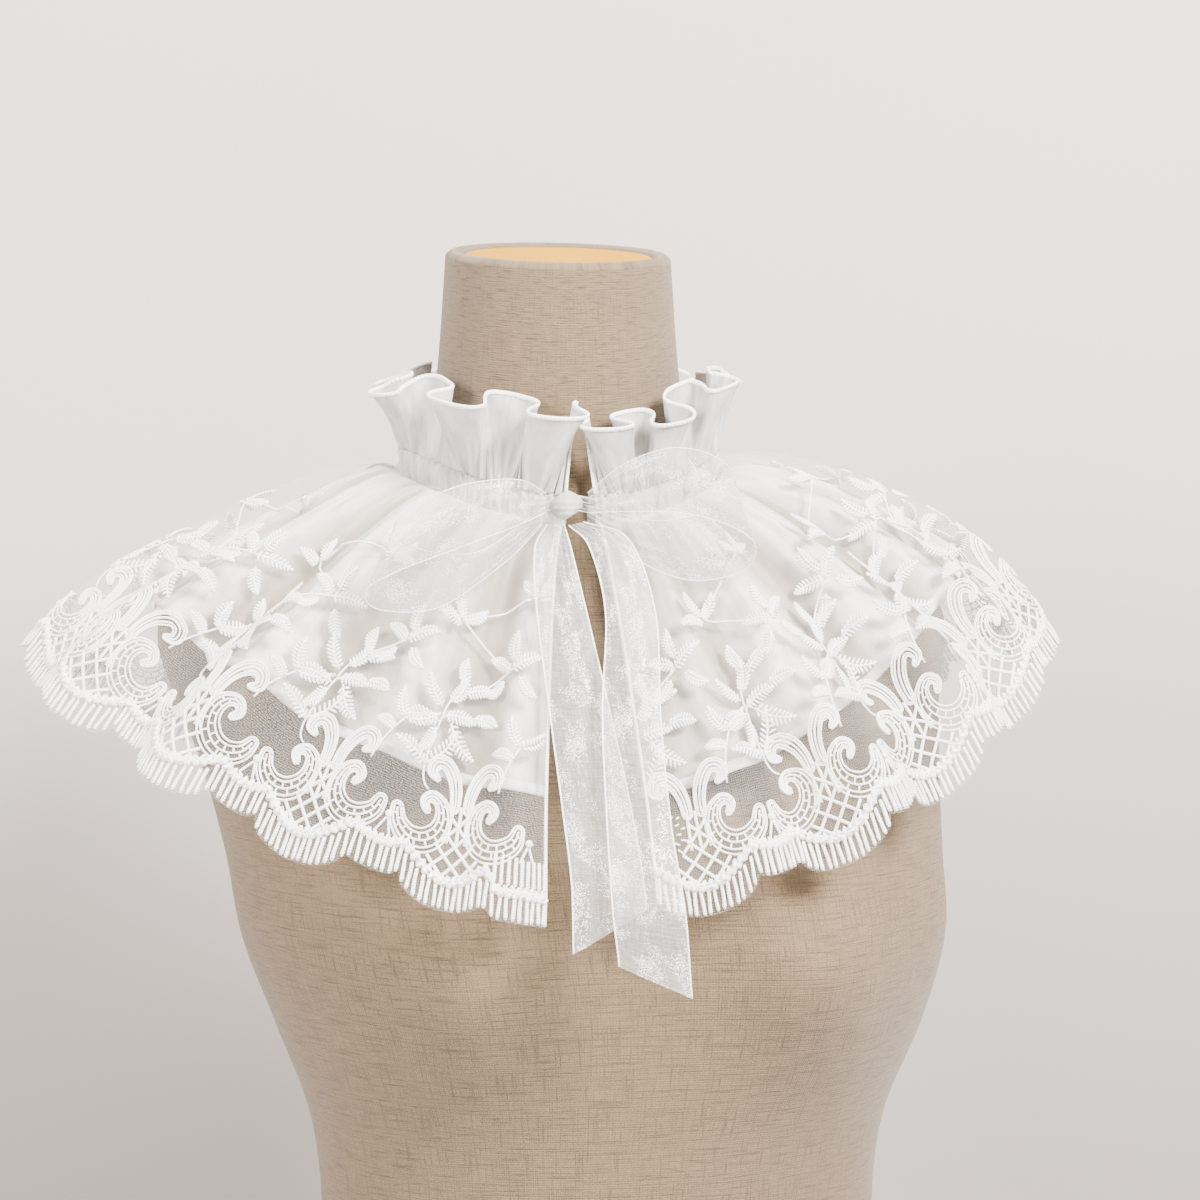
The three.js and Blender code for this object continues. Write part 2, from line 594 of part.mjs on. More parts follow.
// The knot: a rounded lump whose section swells and pinches, with a few soft pleats.
function bowKnot() {
  const columns = 20;
  const levels = 9;
  const pleats = 5;
  const rings = Array.from({ length: levels }, (_, r) => {
    const up = -Math.cos((Math.PI * (r + 0.5)) / levels);
    const swell = Math.sqrt(1 - up ** 2);
    return Array.from({ length: columns }, (_, c) => {
      const turn = (2 * Math.PI * c) / columns;
      const pleat = 1 + 0.06 * Math.cos(pleats * turn);
      return new THREE.Vector3(
        KNOT.x + 0.5 * KNOT.width * swell * pleat * Math.sin(turn),
        KNOT.y - 0.5 * KNOT.depth * swell * pleat * Math.cos(turn),
        KNOT.z + 0.5 * KNOT.height * up,
      );
    });
  });
  return ringSolid("bow_knot", FINISHES.organza, rings);
}

// ---------------------------------------------------------------- the whole object

const collar = new THREE.Group();
collar.add(
  dressForm(),
  neckCap(),
  capeLining(),
  ...laceCape(),
  neckCasing(),
  collarFrill(),
  bowKnot(),
  ribbon("bow_loop_left", LOOP_LEFT, 32),
  ribbon("bow_loop_right", LOOP_RIGHT, 32),
  ribbon("ribbon_tail_left", TAIL_LEFT, 18, TAIL_CUTS.left),
  ribbon("ribbon_tail_right", TAIL_RIGHT, 18, TAIL_CUTS.right),
  ribbon("ribbon_lead_left", LEAD_LEFT, 6),
  ribbon("ribbon_lead_right", LEAD_RIGHT, 6),
);

export default collar;
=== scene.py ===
"""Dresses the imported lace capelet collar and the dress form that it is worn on.

Sizes are in millimetres inside the classes, and become metres where a mesh is made. Angles run round the
neck in degrees: 0 at the centre front (-Y), positive towards +X, 180 at the back. On the cape's cloth, u is
the distance along the hem from the right front edge and t the height above the scallops' cusps.
"""
import logging
import math
from dataclasses import dataclass, field
from enum import Enum

import bpy
import numpy as np
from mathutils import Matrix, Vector


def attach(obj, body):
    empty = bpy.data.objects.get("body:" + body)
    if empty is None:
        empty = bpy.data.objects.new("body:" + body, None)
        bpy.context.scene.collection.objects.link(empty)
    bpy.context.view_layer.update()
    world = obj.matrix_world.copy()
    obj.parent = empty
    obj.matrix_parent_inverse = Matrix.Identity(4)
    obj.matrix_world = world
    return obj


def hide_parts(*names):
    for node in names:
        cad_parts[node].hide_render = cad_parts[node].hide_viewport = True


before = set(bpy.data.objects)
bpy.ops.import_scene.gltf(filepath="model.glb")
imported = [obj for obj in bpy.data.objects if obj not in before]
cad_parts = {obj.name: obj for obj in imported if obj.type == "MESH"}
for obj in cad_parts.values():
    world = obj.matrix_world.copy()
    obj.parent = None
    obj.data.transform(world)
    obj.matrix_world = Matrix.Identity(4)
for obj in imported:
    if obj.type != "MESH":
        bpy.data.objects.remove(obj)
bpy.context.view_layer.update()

MM = 0.001
LOG = logging.getLogger("capelet")
Array = np.ndarray
Piece = bpy.types.Object
Socket = bpy.types.NodeSocket
Colour = tuple[float, float, float]
# the ribbon's width, and the middle of the knot
RIBBON_WIDE = 28.0
KNOT_PLACE = (-8.0, -77.0, 487.0)


# ------------------------------------------------------------------ curves and surfaces


def table(*rows: tuple) -> Array:
    """A dataclass field that holds a table of numbers, a tuple for each row."""
    return field(default_factory=lambda: np.array(rows, dtype=float))


def table_value(keys: Array, values: Array, place: Array) -> Array:
    """A smooth value from a table: a Catmull-Rom cubic through its rows.

    Args:
        keys: rising places of the rows.
        values: one value for each row.
        place: where to read, of any shape.

    Returns:
        The values, in place's shape.
    """
    last = len(keys) - 1
    row = np.clip(np.searchsorted(keys, place, side="right") - 1, 0, last - 1)
    before, after = np.maximum(row - 1, 0), np.minimum(row + 2, last)
    span = keys[row + 1] - keys[row]
    x = (place - keys[row]) / span
    low = (values[row + 1] - values[before]) / np.maximum(keys[row + 1] - keys[before], 1e-9) * span
    high = (values[after] - values[row]) / np.maximum(keys[after] - keys[row], 1e-9) * span
    return (
        (2 * x**3 - 3 * x**2 + 1) * values[row]
        + (x**3 - 2 * x**2 + x) * low
        + (3 * x**2 - 2 * x**3) * values[row + 1]
        + (x**3 - x**2) * high
    )


def route_value(rows: Array, place: Array) -> Array:
    """Every column of a table with evenly spaced rows, read at one place each.

    Args:
        rows: the table.
        place: where to read, counted in rows, of any shape.

    Returns:
        The values, with the columns on a last axis of their own.
    """
    keys = np.arange(len(rows), dtype=float)
    return np.stack([table_value(keys, rows[:, c], place) for c in range(rows.shape[1])], axis=-1)


def smooth(x: Array) -> Array:
    """Smooth step: 3x^2 - 2x^3 on x held between 0 and 1."""
    x = np.clip(x, 0, 1)
    return x * x * (3 - 2 * x)


def half_wave(turn: Array) -> Array:
    """A sine moved to run from 0 to 1."""
    return 0.5 + 0.5 * np.sin(turn)


def half_circle(x: Array) -> Array:
    """The height of a half circle over x from 0 to 1, at most 1."""
    return np.sqrt(np.maximum(0, 1 - (2 * x - 1) ** 2))


def path_length(path: Array) -> Array:
    """The distance along a path at each of its points."""
    return np.concatenate([[0], np.cumsum(np.linalg.norm(np.diff(path, axis=0), axis=1))])


def side_of(path: Array) -> tuple[Array, Array]:
    """The direction along a flat path at each point, and the direction to its left."""
    along = unit(np.gradient(path, axis=0))
    return along, np.stack([-along[:, 1], along[:, 0]], axis=1)


def signed_power(value: Array, power: Array | float) -> Array:
    """The value's size to a power, with its sign kept."""
    return np.sign(value) * np.abs(value) ** power


def unit(vectors: Array) -> Array:
    """The vectors at length 1."""
    return vectors / np.maximum(np.linalg.norm(vectors, axis=-1, keepdims=True), 1e-12)


def grid_normals(points: Array) -> Array:
    """Unit normals of a grid of points: the step down the rows crossed with the step along the columns."""
    return unit(np.cross(np.gradient(points, axis=0), np.gradient(points, axis=1)))


def resampled(path: Array, count: int) -> Array:
    """A flat path's points moved so that they are evenly spaced along it."""
    length = path_length(path)
    at = np.linspace(0, length[-1], count)
    return np.stack([np.interp(at, length, path[:, c]) for c in range(path.shape[1])], axis=1)


@dataclass
class Shape:
    """Vertices in millimetres, faces, and a flat place for each vertex, also in millimetres."""

    points: Array
    faces: list
    flat: Array
    girth: float = 0.0

    @staticmethod
    def joined(shapes: list["Shape"]) -> "Shape":
        """Several shapes in a single mesh."""
        bases = np.cumsum([0] + [len(shape.points) for shape in shapes]).tolist()
        faces = [[i + base for i in face] for shape, base in zip(shapes, bases) for face in shape.faces]
        return Shape(np.vstack([s.points for s in shapes]), faces, np.vstack([s.flat for s in shapes]))

    def unwrapped(self, corner: Array, mesh: bpy.types.Mesh) -> Array:
        """The flat place of each face corner, with the faces that close the round carried on past its end."""
        flat = self.flat[corner]
        if self.girth:
            sizes = np.empty(len(mesh.polygons), dtype=np.int32)
            mesh.polygons.foreach_get("loop_total", sizes)
            face = np.repeat(np.arange(len(sizes)), sizes)
            furthest = np.zeros(len(sizes))
            np.maximum.at(furthest, face, flat[:, 0])
            flat[:, 0] += self.girth * (furthest[face] - flat[:, 0] > self.girth / 2)
        return flat

    def piece(self, name: str) -> Piece:
        """Makes a smooth-shaded object at the origin, with the flat places as the UV map "cloth".

        Args:
            name: the object's name.

        Returns:
            The new object, linked to the scene.
        """
        mesh = bpy.data.meshes.new(name)
        mesh.from_pydata(self.points * MM, [], self.faces)
        mesh.polygons.foreach_set("use_smooth", np.ones(len(mesh.polygons), dtype=bool))
        corner = np.empty(len(mesh.loops), dtype=np.int32)
        mesh.loops.foreach_get("vertex_index", corner)
        layer = mesh.uv_layers.new(name="cloth")
        layer.data.foreach_set("uv", self.unwrapped(corner, mesh).ravel())
        mesh.update()
        piece = bpy.data.objects.new(name, mesh)
        bpy.context.scene.collection.objects.link(piece)
        return piece


def surface(points: Array, flat: Array, around: bool = False) -> Shape:
    """A surface through a grid of points, facing along the step down crossed with the step along.

    Args:
        points: the grid, rows by columns by 3.
        flat: the same grid laid flat, rows by columns by 2.
        around: whether the last column joins the first.

    Returns:
        The surface of four-sided faces.
    """
    rows, columns = points.shape[:2]
    index = np.arange(rows * columns).reshape(rows, columns)
    right = np.roll(index, -1, axis=1)
    if not around:
        index, right = index[:, :-1], right[:, :-1]
    faces = np.stack([index[:-1], index[1:], right[1:], right[:-1]], axis=-1).reshape(-1, 4)
    return Shape(points.reshape(-1, 3), faces.tolist(), flat.reshape(-1, 2))


def turned_body(rings: Array, girth: float, rise: Array) -> Shape:
    """A closed body through rings from the lowest to the last, with a pole in the middle of each end ring.

    Args:
        rings: points, rings by columns by 3.
        girth: the distance once round.
        rise: the distance up the body of each ring.

    Returns:
        The body.
    """
    rows, columns = rings.shape[:2]
    around = np.linspace(0, girth, columns, endpoint=False)
    flat = np.stack(np.broadcast_arrays(around[None], np.reshape(rise, (-1, 1))), axis=-1)
    shape = surface(rings[::-1], flat[::-1], around=True)
    shape.girth = girth
    ends = np.stack([rings[-1].mean(0), rings[0].mean(0)])
    shape.points = np.vstack([shape.points, ends])
    past = 30  # how far the poles' flat places lie past the end rings'
    shape.flat = np.vstack([shape.flat, [[0, flat[-1, 0, 1] + past], [0, flat[0, 0, 1] - past]]])
    first = np.arange(columns)
    after = np.roll(first, -1)
    base = (rows - 1) * columns
    top_pole, low_pole = rows * columns, rows * columns + 1
    shape.faces += np.stack([np.full(columns, top_pole), first, after], axis=1).tolist()
    shape.faces += np.stack([np.full(columns, low_pole), base + after, base + first], axis=1).tolist()
    return shape


def cords(centre: Array, up: Array, width: Array | float, height: Array | float, sides: int = 4) -> Shape:
    """Many cords of one section at once: a flattened ring carried along each centre line.

    Each ring is the centre plus half the width times the cosine towards the side, plus half the height times
    the sine upwards, where the side is the line's direction crossed with up.

    Args:
        centre: centre lines, cords by points by 3.
        up: the way that each point's height faces, in the same shape.
        width: the section's width, one number or cords by points.
        height: the section's height, likewise.
        sides: the section's corners.

    Returns:
        The cords, closed at both ends.
    """
    count, steps = centre.shape[:2]
    along = unit(np.gradient(centre, axis=1))
    side = unit(np.cross(along, up))
    rise = np.cross(side, along)
    turn = (np.arange(sides) + 0.5) * 2 * np.pi / sides
    wide = np.broadcast_to(np.asarray(width, dtype=float), (count, steps))[:, :, None, None] * 0.5
    tall = np.broadcast_to(np.asarray(height, dtype=float), (count, steps))[:, :, None, None] * 0.5
    spread = math.sqrt(2) if sides == 4 else 1.0
    ring = centre[:, :, None] + spread * (
        side[:, :, None] * wide * np.cos(turn)[:, None] + rise[:, :, None] * tall * np.sin(turn)[:, None]
    )
    gone = np.concatenate(
        [np.zeros((count, 1)), np.cumsum(np.linalg.norm(np.diff(centre, axis=1), axis=2), axis=1)], axis=1
    )
    flat = np.stack(np.broadcast_arrays(turn / (2 * np.pi), gone[:, :, None]), axis=-1)
    index = np.arange(count * steps * sides).reshape(count, steps, sides)
    after = np.roll(index, -1, axis=2)
    walls = np.stack([index[:, :-1], index[:, 1:], after[:, 1:], after[:, :-1]], axis=-1).reshape(-1, 4)
    faces = walls.tolist() + index[:, 0].tolist() + index[:, -1, ::-1].tolist()
    return Shape(ring.reshape(-1, 3), faces, flat.reshape(-1, 2))


# ------------------------------------------------------------------ finishes


class Nodes:
    """A material's node tree, with short ways to add and join nodes."""

    def __init__(self, name: str) -> None:
        """Starts an empty material called name."""
        self.material = bpy.data.materials.new(name)
        self.material.use_nodes = True
        self.tree = self.material.node_tree
        self.tree.nodes.clear()
        self.end = self.tree.nodes.new("ShaderNodeOutputMaterial")

    def add(self, kind: str, inputs: dict | None = None, **settings: object) -> bpy.types.Node:
        """Adds a node.

        Args:
            kind: the node's type without its "ShaderNode" start.
            inputs: values or output sockets, by input name or number.
            settings: the node's own properties.

        Returns:
            The node.
        """
        node = self.tree.nodes.new("ShaderNode" + kind)
        for key, value in settings.items():
            setattr(node, key, value)
        for key, value in (inputs or {}).items():
            if isinstance(value, Socket):
                self.tree.links.new(value, node.inputs[key])
            else:
                node.inputs[key].default_value = value
        return node

    def math(self, operation: str, a: Socket, b: Socket | float) -> Socket:
        """One sum, product or other step on two values."""
        return self.add("Math", {0: a, 1: b}, operation=operation).outputs[0]

    def flat(self, across: float = 1.0, down: float = 1.0) -> Socket:
        """The cloth's flat place in millimetres, scaled each way."""
        place = self.add("UVMap", uv_map="cloth").outputs[0]
        return self.add("Mapping", {"Vector": place, "Scale": (across, down, 1.0)}).outputs[0]

    def solid(self, across: float = 1.0, deep: float = 1.0, up: float = 1.0) -> Socket:
        """The object's own place in millimetres, scaled along each axis."""
        place = self.add("TexCoord").outputs["Object"]
        scale = (1000 * across, 1000 * deep, 1000 * up)
        return self.add("Mapping", {"Vector": place, "Scale": scale}).outputs[0]

    def noise(self, place: Socket, detail: float, rough: float) -> Socket:
        """Soft noise with a grain of about one unit of place."""
        inputs = {"Vector": place, "Scale": 1.0, "Detail": detail, "Roughness": rough}
        return self.add("TexNoise", inputs).outputs[0]

    def waves(
        self, place: Socket, scale: float, bend: float, facing: str = "X", detail: float = 2.0
    ) -> Socket:
        """Soft stripes from 0 to 1, bent by noise."""
        inputs = {"Vector": place, "Scale": scale, "Distortion": bend, "Detail": detail}
        return self.add("TexWave", inputs, bands_direction=facing).outputs[1]

    def remap(
        self, value: Socket, low: float, high: float, start: Socket | float = 0.0, end: float = 1.0
    ) -> Socket:
        """The value's stretch from low to high, spread from start to end and held there."""
        return self.add("MapRange", {0: value, 1: low, 2: high, 3: start, 4: end}).outputs[0]

    def between(self, low: tuple, high: tuple, share: Socket) -> Socket:
        """A colour between two others."""
        inputs = {0: share, 6: (*low, 1.0), 7: (*high, 1.0)}
        return self.add("Mix", inputs, data_type="RGBA").outputs[2]

    def bump(self, height: Socket, depth_mm: float, strength: float = 1.0) -> Socket:
        """A normal that makes a height of 0 to 1 look depth_mm deep."""
        inputs = {"Height": height, "Distance": depth_mm * MM, "Strength": strength}
        return self.add("Bump", inputs).outputs[0]

    def finish(self, shader: Socket) -> bpy.types.Material:
        """Joins the shader to the output and gives the material."""
        self.tree.links.new(shader, self.end.inputs[0])
        return self.material

    def shaded(self, inputs: dict) -> bpy.types.Material:
        """Ends the tree with one principled shader and gives the material."""
        return self.finish(self.add("BsdfPrincipled", inputs).outputs[0])


@dataclass(frozen=True)
class Linen:
    """Unbleached linen: a plain weave of uneven threads, with darker and thicker slubs both ways."""

    light: Colour = (0.155, 0.102, 0.051)
    dark: Colour = (0.046, 0.027, 0.013)
    weft_grain: tuple[float, float] = (0.055, 1.15)
    warp_grain: tuple[float, float] = (1.15, 0.06)
    slubs: tuple[float, float] = (0.47, 0.65)
    relief_mm: float = 0.35

    def build(self, name: str) -> bpy.types.Material:
        """The material: stretched noise for the slubs each way over a fine weave."""
        n = Nodes(name)
        weft = n.noise(n.flat(*self.weft_grain), 3.0, 0.65)
        warp = n.noise(n.flat(*self.warp_grain), 3.0, 0.65)
        threads = n.math("MAXIMUM", weft, n.math("MULTIPLY", warp, 0.96))
        fine = n.noise(n.flat(1.8, 1.8), 2.0, 0.6)
        mixed = n.math("ADD", n.math("MULTIPLY", threads, 0.68), n.math("MULTIPLY", fine, 0.32))
        across = n.waves(n.flat(), 0.33, 1.2, detail=1.0)
        down = n.waves(n.flat(), 0.33, 1.2, "Y")
        weave = n.math("MULTIPLY", across, down)
        height = n.math("ADD", n.math("MULTIPLY", weave, 0.4), mixed)
        inputs = {
            "Base Color": n.between(self.light, self.dark, n.remap(mixed, *self.slubs)),
            "Roughness": 0.88,
            "Sheen Weight": 0.15,
            "Normal": n.bump(height, self.relief_mm),
        }
        return n.shaded(inputs)


@dataclass(frozen=True)
class PaleWood:
    """Turned beech: fine stretched grain with soft growth lines."""

    light: Colour = (0.44, 0.215, 0.004)
    dark: Colour = (0.33, 0.145, 0.003)
    relief_mm: float = 0.08

    def build(self, name: str) -> bpy.types.Material:
        """The material: noise drawn out along the grain."""
        n = Nodes(name)
        grain = n.noise(n.solid(0.05, 0.6, 0.6), 4.0, 0.6)
        lines = n.waves(n.solid(0.02, 0.3, 0.3), 0.35, 3.0)
        share = n.math("ADD", n.math("MULTIPLY", grain, 0.6), n.math("MULTIPLY", lines, 0.25))
        inputs = {
            "Base Color": n.between(self.light, self.dark, share),
            "Roughness": 0.8,
            "Specular IOR Level": 0.08,
            "Normal": n.bump(grain, self.relief_mm, 0.5),
        }
        return n.shaded(inputs)


@dataclass(frozen=True)
class Lawn:
    """Fine cloth for the lining, frill, casing and knot: a close weave over soft creases.

    Where a piece carries a share of painted shade as an attribute, the colour is mixed by that share towards
    a dark linen colour.
    This is painted shade in the fold valleys, together with the linen seen through the cloth. The shade
    colour is painted shade along the creases.
    """

    colour: Colour = (0.80, 0.77, 0.73)
    # shade: painted shade along the creases
    shade: Colour = (0.52, 0.485, 0.44)
    # through: the dark linen colour of the painted shade in the fold valleys, partly the linen seen through
    # the cloth
    through: Colour = (0.21, 0.155, 0.105)
    shade_and_linen_share: float = 0.95
    crease_mm: float = 0.6

    def build(self, name: str) -> bpy.types.Material:
        """The material: a fine crossed weave over creases that run down the cloth, with painted shade in the
        creases and in the fold valleys.
        """
        n = Nodes(name)
        crease = n.noise(n.flat(0.10, 0.035), 3.0, 0.55)
        weave = n.math("MULTIPLY", n.waves(n.flat(), 0.75, 0.6), n.waves(n.flat(), 0.75, 0.6, "Y"))
        height = n.math("ADD", crease, n.math("MULTIPLY", weave, 0.12))
        # the share of painted shade in the fold valleys, with the linen seen through the cloth
        near = n.add("Attribute", attribute_name="valley_shade_and_linen").outputs["Fac"]
        # painted shade: the cloth's colour turns towards the shade colour along the creases
        cloth = n.between(self.colour, self.shade, n.remap(crease, 0.35, 0.65))
        shares = {0: n.math("MULTIPLY", near, self.shade_and_linen_share), 6: cloth, 7: (*self.through, 1.0)}
        inputs = {
            "Base Color": n.add("Mix", shares, data_type="RGBA").outputs[2],
            "Roughness": 0.78,
            "Sheen Weight": 0.25,
            "Sheen Roughness": 0.4,
            "Normal": n.bump(height, self.crease_mm),
        }
        return n.shaded(inputs)


@dataclass(frozen=True)
class Net:
    """Fine tulle: a mesh of threads with clear holes."""

    colour: Colour = (0.90, 0.885, 0.865)
    hole_mm: float = 0.95
    thread: float = 0.075
    uneven: float = 0.55
    cover: tuple[float, float] = (0.01, 0.34)

    def build(self, name: str) -> bpy.types.Material:
        """The material: the cover is least in the holes and greatest by the edges of uneven cells."""
        n = Nodes(name)
        scale = 1 / self.hole_mm
        cells = n.add(
            "TexVoronoi",
            {"Vector": n.flat(scale, scale), "Scale": 1.0, "Randomness": self.uneven},
            feature="DISTANCE_TO_EDGE",
            voronoi_dimensions="2D",
        )
        inputs = {
            "Base Color": (*self.colour, 1.0),
            "Roughness": 0.6,
            "Sheen Weight": 0.2,
            "Alpha": n.remap(cells.outputs["Distance"], self.thread, self.thread * 0.3, *self.cover),
        }
        return n.shaded(inputs)


@dataclass(frozen=True)
class Thread:
    """Embroidery cotton laid in satin stitches across a cord."""

    colour: Colour = (0.97, 0.96, 0.94)
    # how much of the colour is left in the painted shade between the stitches
    valley_shade: float = 0.86
    stitch_mm: float = 0.55
    relief_mm: float = 0.16

    def build(self, name: str) -> bpy.types.Material:
        """The material: slanted ridges along the cord, one for each stitch, with painted shade a little
        darker between them.
        """
        n = Nodes(name)
        ridge = n.waves(n.flat(1.4, 1.0), 0.314 / self.stitch_mm, 0.5, "DIAGONAL")
        inputs = {
            "Base Color": n.between(self.colour, tuple(self.valley_shade * c for c in self.colour), ridge),
            "Roughness": 0.5,
            "Sheen Weight": 0.35,
            "Normal": n.bump(ridge, self.relief_mm),
        }
        return n.shaded(inputs)


@dataclass(frozen=True)
class Organza:
    """Sheer crisp ribbon with silvery specks of glitter in drifts."""

    colour: Colour = (0.48, 0.475, 0.47)
    sparkle: Colour = (0.99, 0.99, 1.0)
    cover: float = 0.36
    speck_cover: float = 0.92
    speck_mm: float = 0.5
    speck_share: float = 0.34
    drifts: tuple[float, float] = (0.48, 0.62)
    crease_mm: float = 1.2

    def build(self, name: str) -> bpy.types.Material:
        """The material: a part-clear weave, with small bright specks where noise says that they drift."""
        n = Nodes(name)
        drift = n.remap(n.noise(n.flat(0.09, 0.06), 3.0, 0.6), *self.drifts)
        place = n.flat(1 / self.speck_mm, 1 / self.speck_mm)
        specks = {"Vector": place, "Scale": 1.0, "Randomness": 1.0}
        speck = n.add("TexVoronoi", specks, voronoi_dimensions="2D")
        pick = n.add("SeparateColor", {0: speck.outputs["Color"]}).outputs[0]
        dot = n.math("LESS_THAN", speck.outputs["Distance"], self.speck_share)
        chosen = n.math("LESS_THAN", pick, n.math("MULTIPLY", drift, 0.8))
        glitter = n.math("MULTIPLY", dot, chosen)
        weave = n.math("ADD", n.noise(n.flat(0.12, 1.5), 2.0, 0.6), n.noise(n.flat(1.5, 0.12), 2.0, 0.6))
        cover = n.math("ADD", n.math("MULTIPLY", weave, 0.5), self.cover - 0.5)
        inputs = {
            "Base Color": n.between(self.colour, self.sparkle, glitter),
            "Roughness": n.remap(glitter, 0.0, 1.0, 0.42, 0.2),
            "Specular IOR Level": 0.6,
            "Sheen Weight": 0.4,
            "Alpha": n.remap(glitter, 0.0, 1.0, cover, self.speck_cover),
            "Normal": n.bump(n.noise(n.flat(0.05, 0.16), 3.0, 0.6), self.crease_mm),
        }
        return n.shaded(inputs)


@dataclass(frozen=True)
class Plaster:
    """The pale room behind: one quiet matt colour with the faintest unevenness, and painted shade that
    darkens it towards the table.
    """

    colour: Colour = (0.435, 0.39, 0.36)
    cloudy: float = 0.97
    # the share of the colour left at the bottom of the painted shade, and the heights that the shade runs
    # between
    low_shade: float = 0.70
    shade_heights_mm: tuple[float, float] = (100.0, 480.0)

    def build(self, name: str) -> bpy.types.Material:
        """The material: a plain matt surface, darkened towards the table by painted shade, and clear when it
        is seen from behind.
        """
        n = Nodes(name)
        cloud = n.noise(n.solid(0.004, 0.004, 0.004), 2.0, 0.5)
        even = n.between(self.colour, tuple(self.cloudy * c for c in self.colour), cloud)
        # painted shade: the colour is scaled from the low share at the lower height up to its full value at
        # the upper one
        height = n.add("SeparateXYZ", {0: n.solid()}).outputs[2]
        share = n.remap(height, *self.shade_heights_mm, self.low_shade)
        colour = n.add("VectorMath", {0: even, "Scale": share}, operation="SCALE").outputs[0]
        matt = n.add("BsdfPrincipled", {"Base Color": colour, "Roughness": 0.9}).outputs[0]
        behind = n.add("NewGeometry").outputs["Backfacing"]
        clear = n.add("BsdfTransparent").outputs[0]
        return n.finish(n.add("MixShader", {0: behind, 1: matt, 2: clear}).outputs[0])


class Finish(Enum):
    """The finishes that the pieces are dressed in."""

    LINEN = Linen()
    WOOD = PaleWood()
    LINING = Lawn()
    FRILL = Lawn(colour=(0.68, 0.66, 0.63), shade=(0.38, 0.355, 0.33), crease_mm=1.4)
    NET = Net()
    THREAD = Thread()
    EDGE = Thread(colour=(0.94, 0.93, 0.91), stitch_mm=0.9)
    ORGANZA = Organza()
    ROOM = Plaster()

    def material(self) -> bpy.types.Material:
        """The finish's material, made once."""
        name = f"capelet_{self.name.lower()}"
        return bpy.data.materials.get(name) or self.value.build(name)


def dress(piece: Piece, finish: Finish, nodes: tuple[str, ...] = ()) -> Piece:
    """Gives a piece its material, its body and the solids that it stands for.

    Args:
        piece: the new object.
        finish: its finish.
        nodes: the CAD nodes that it replaces.

    Returns:
        The same object.
    """
    piece.data.materials.append(finish.material())
    if nodes:
        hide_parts(*nodes)
    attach(piece, "root")
    LOG.info("%s: %d faces, %s", piece.name, len(piece.data.polygons), finish.name.lower())
    return piece


def thicken(piece: Piece, thickness_mm: float) -> None:
    """Gives a thin surface a real wall behind its face."""
    wall = piece.modifiers.new("wall", "SOLIDIFY")
    wall.thickness = thickness_mm * MM
    wall.offset = -1.0


# ------------------------------------------------------------------ the dress form


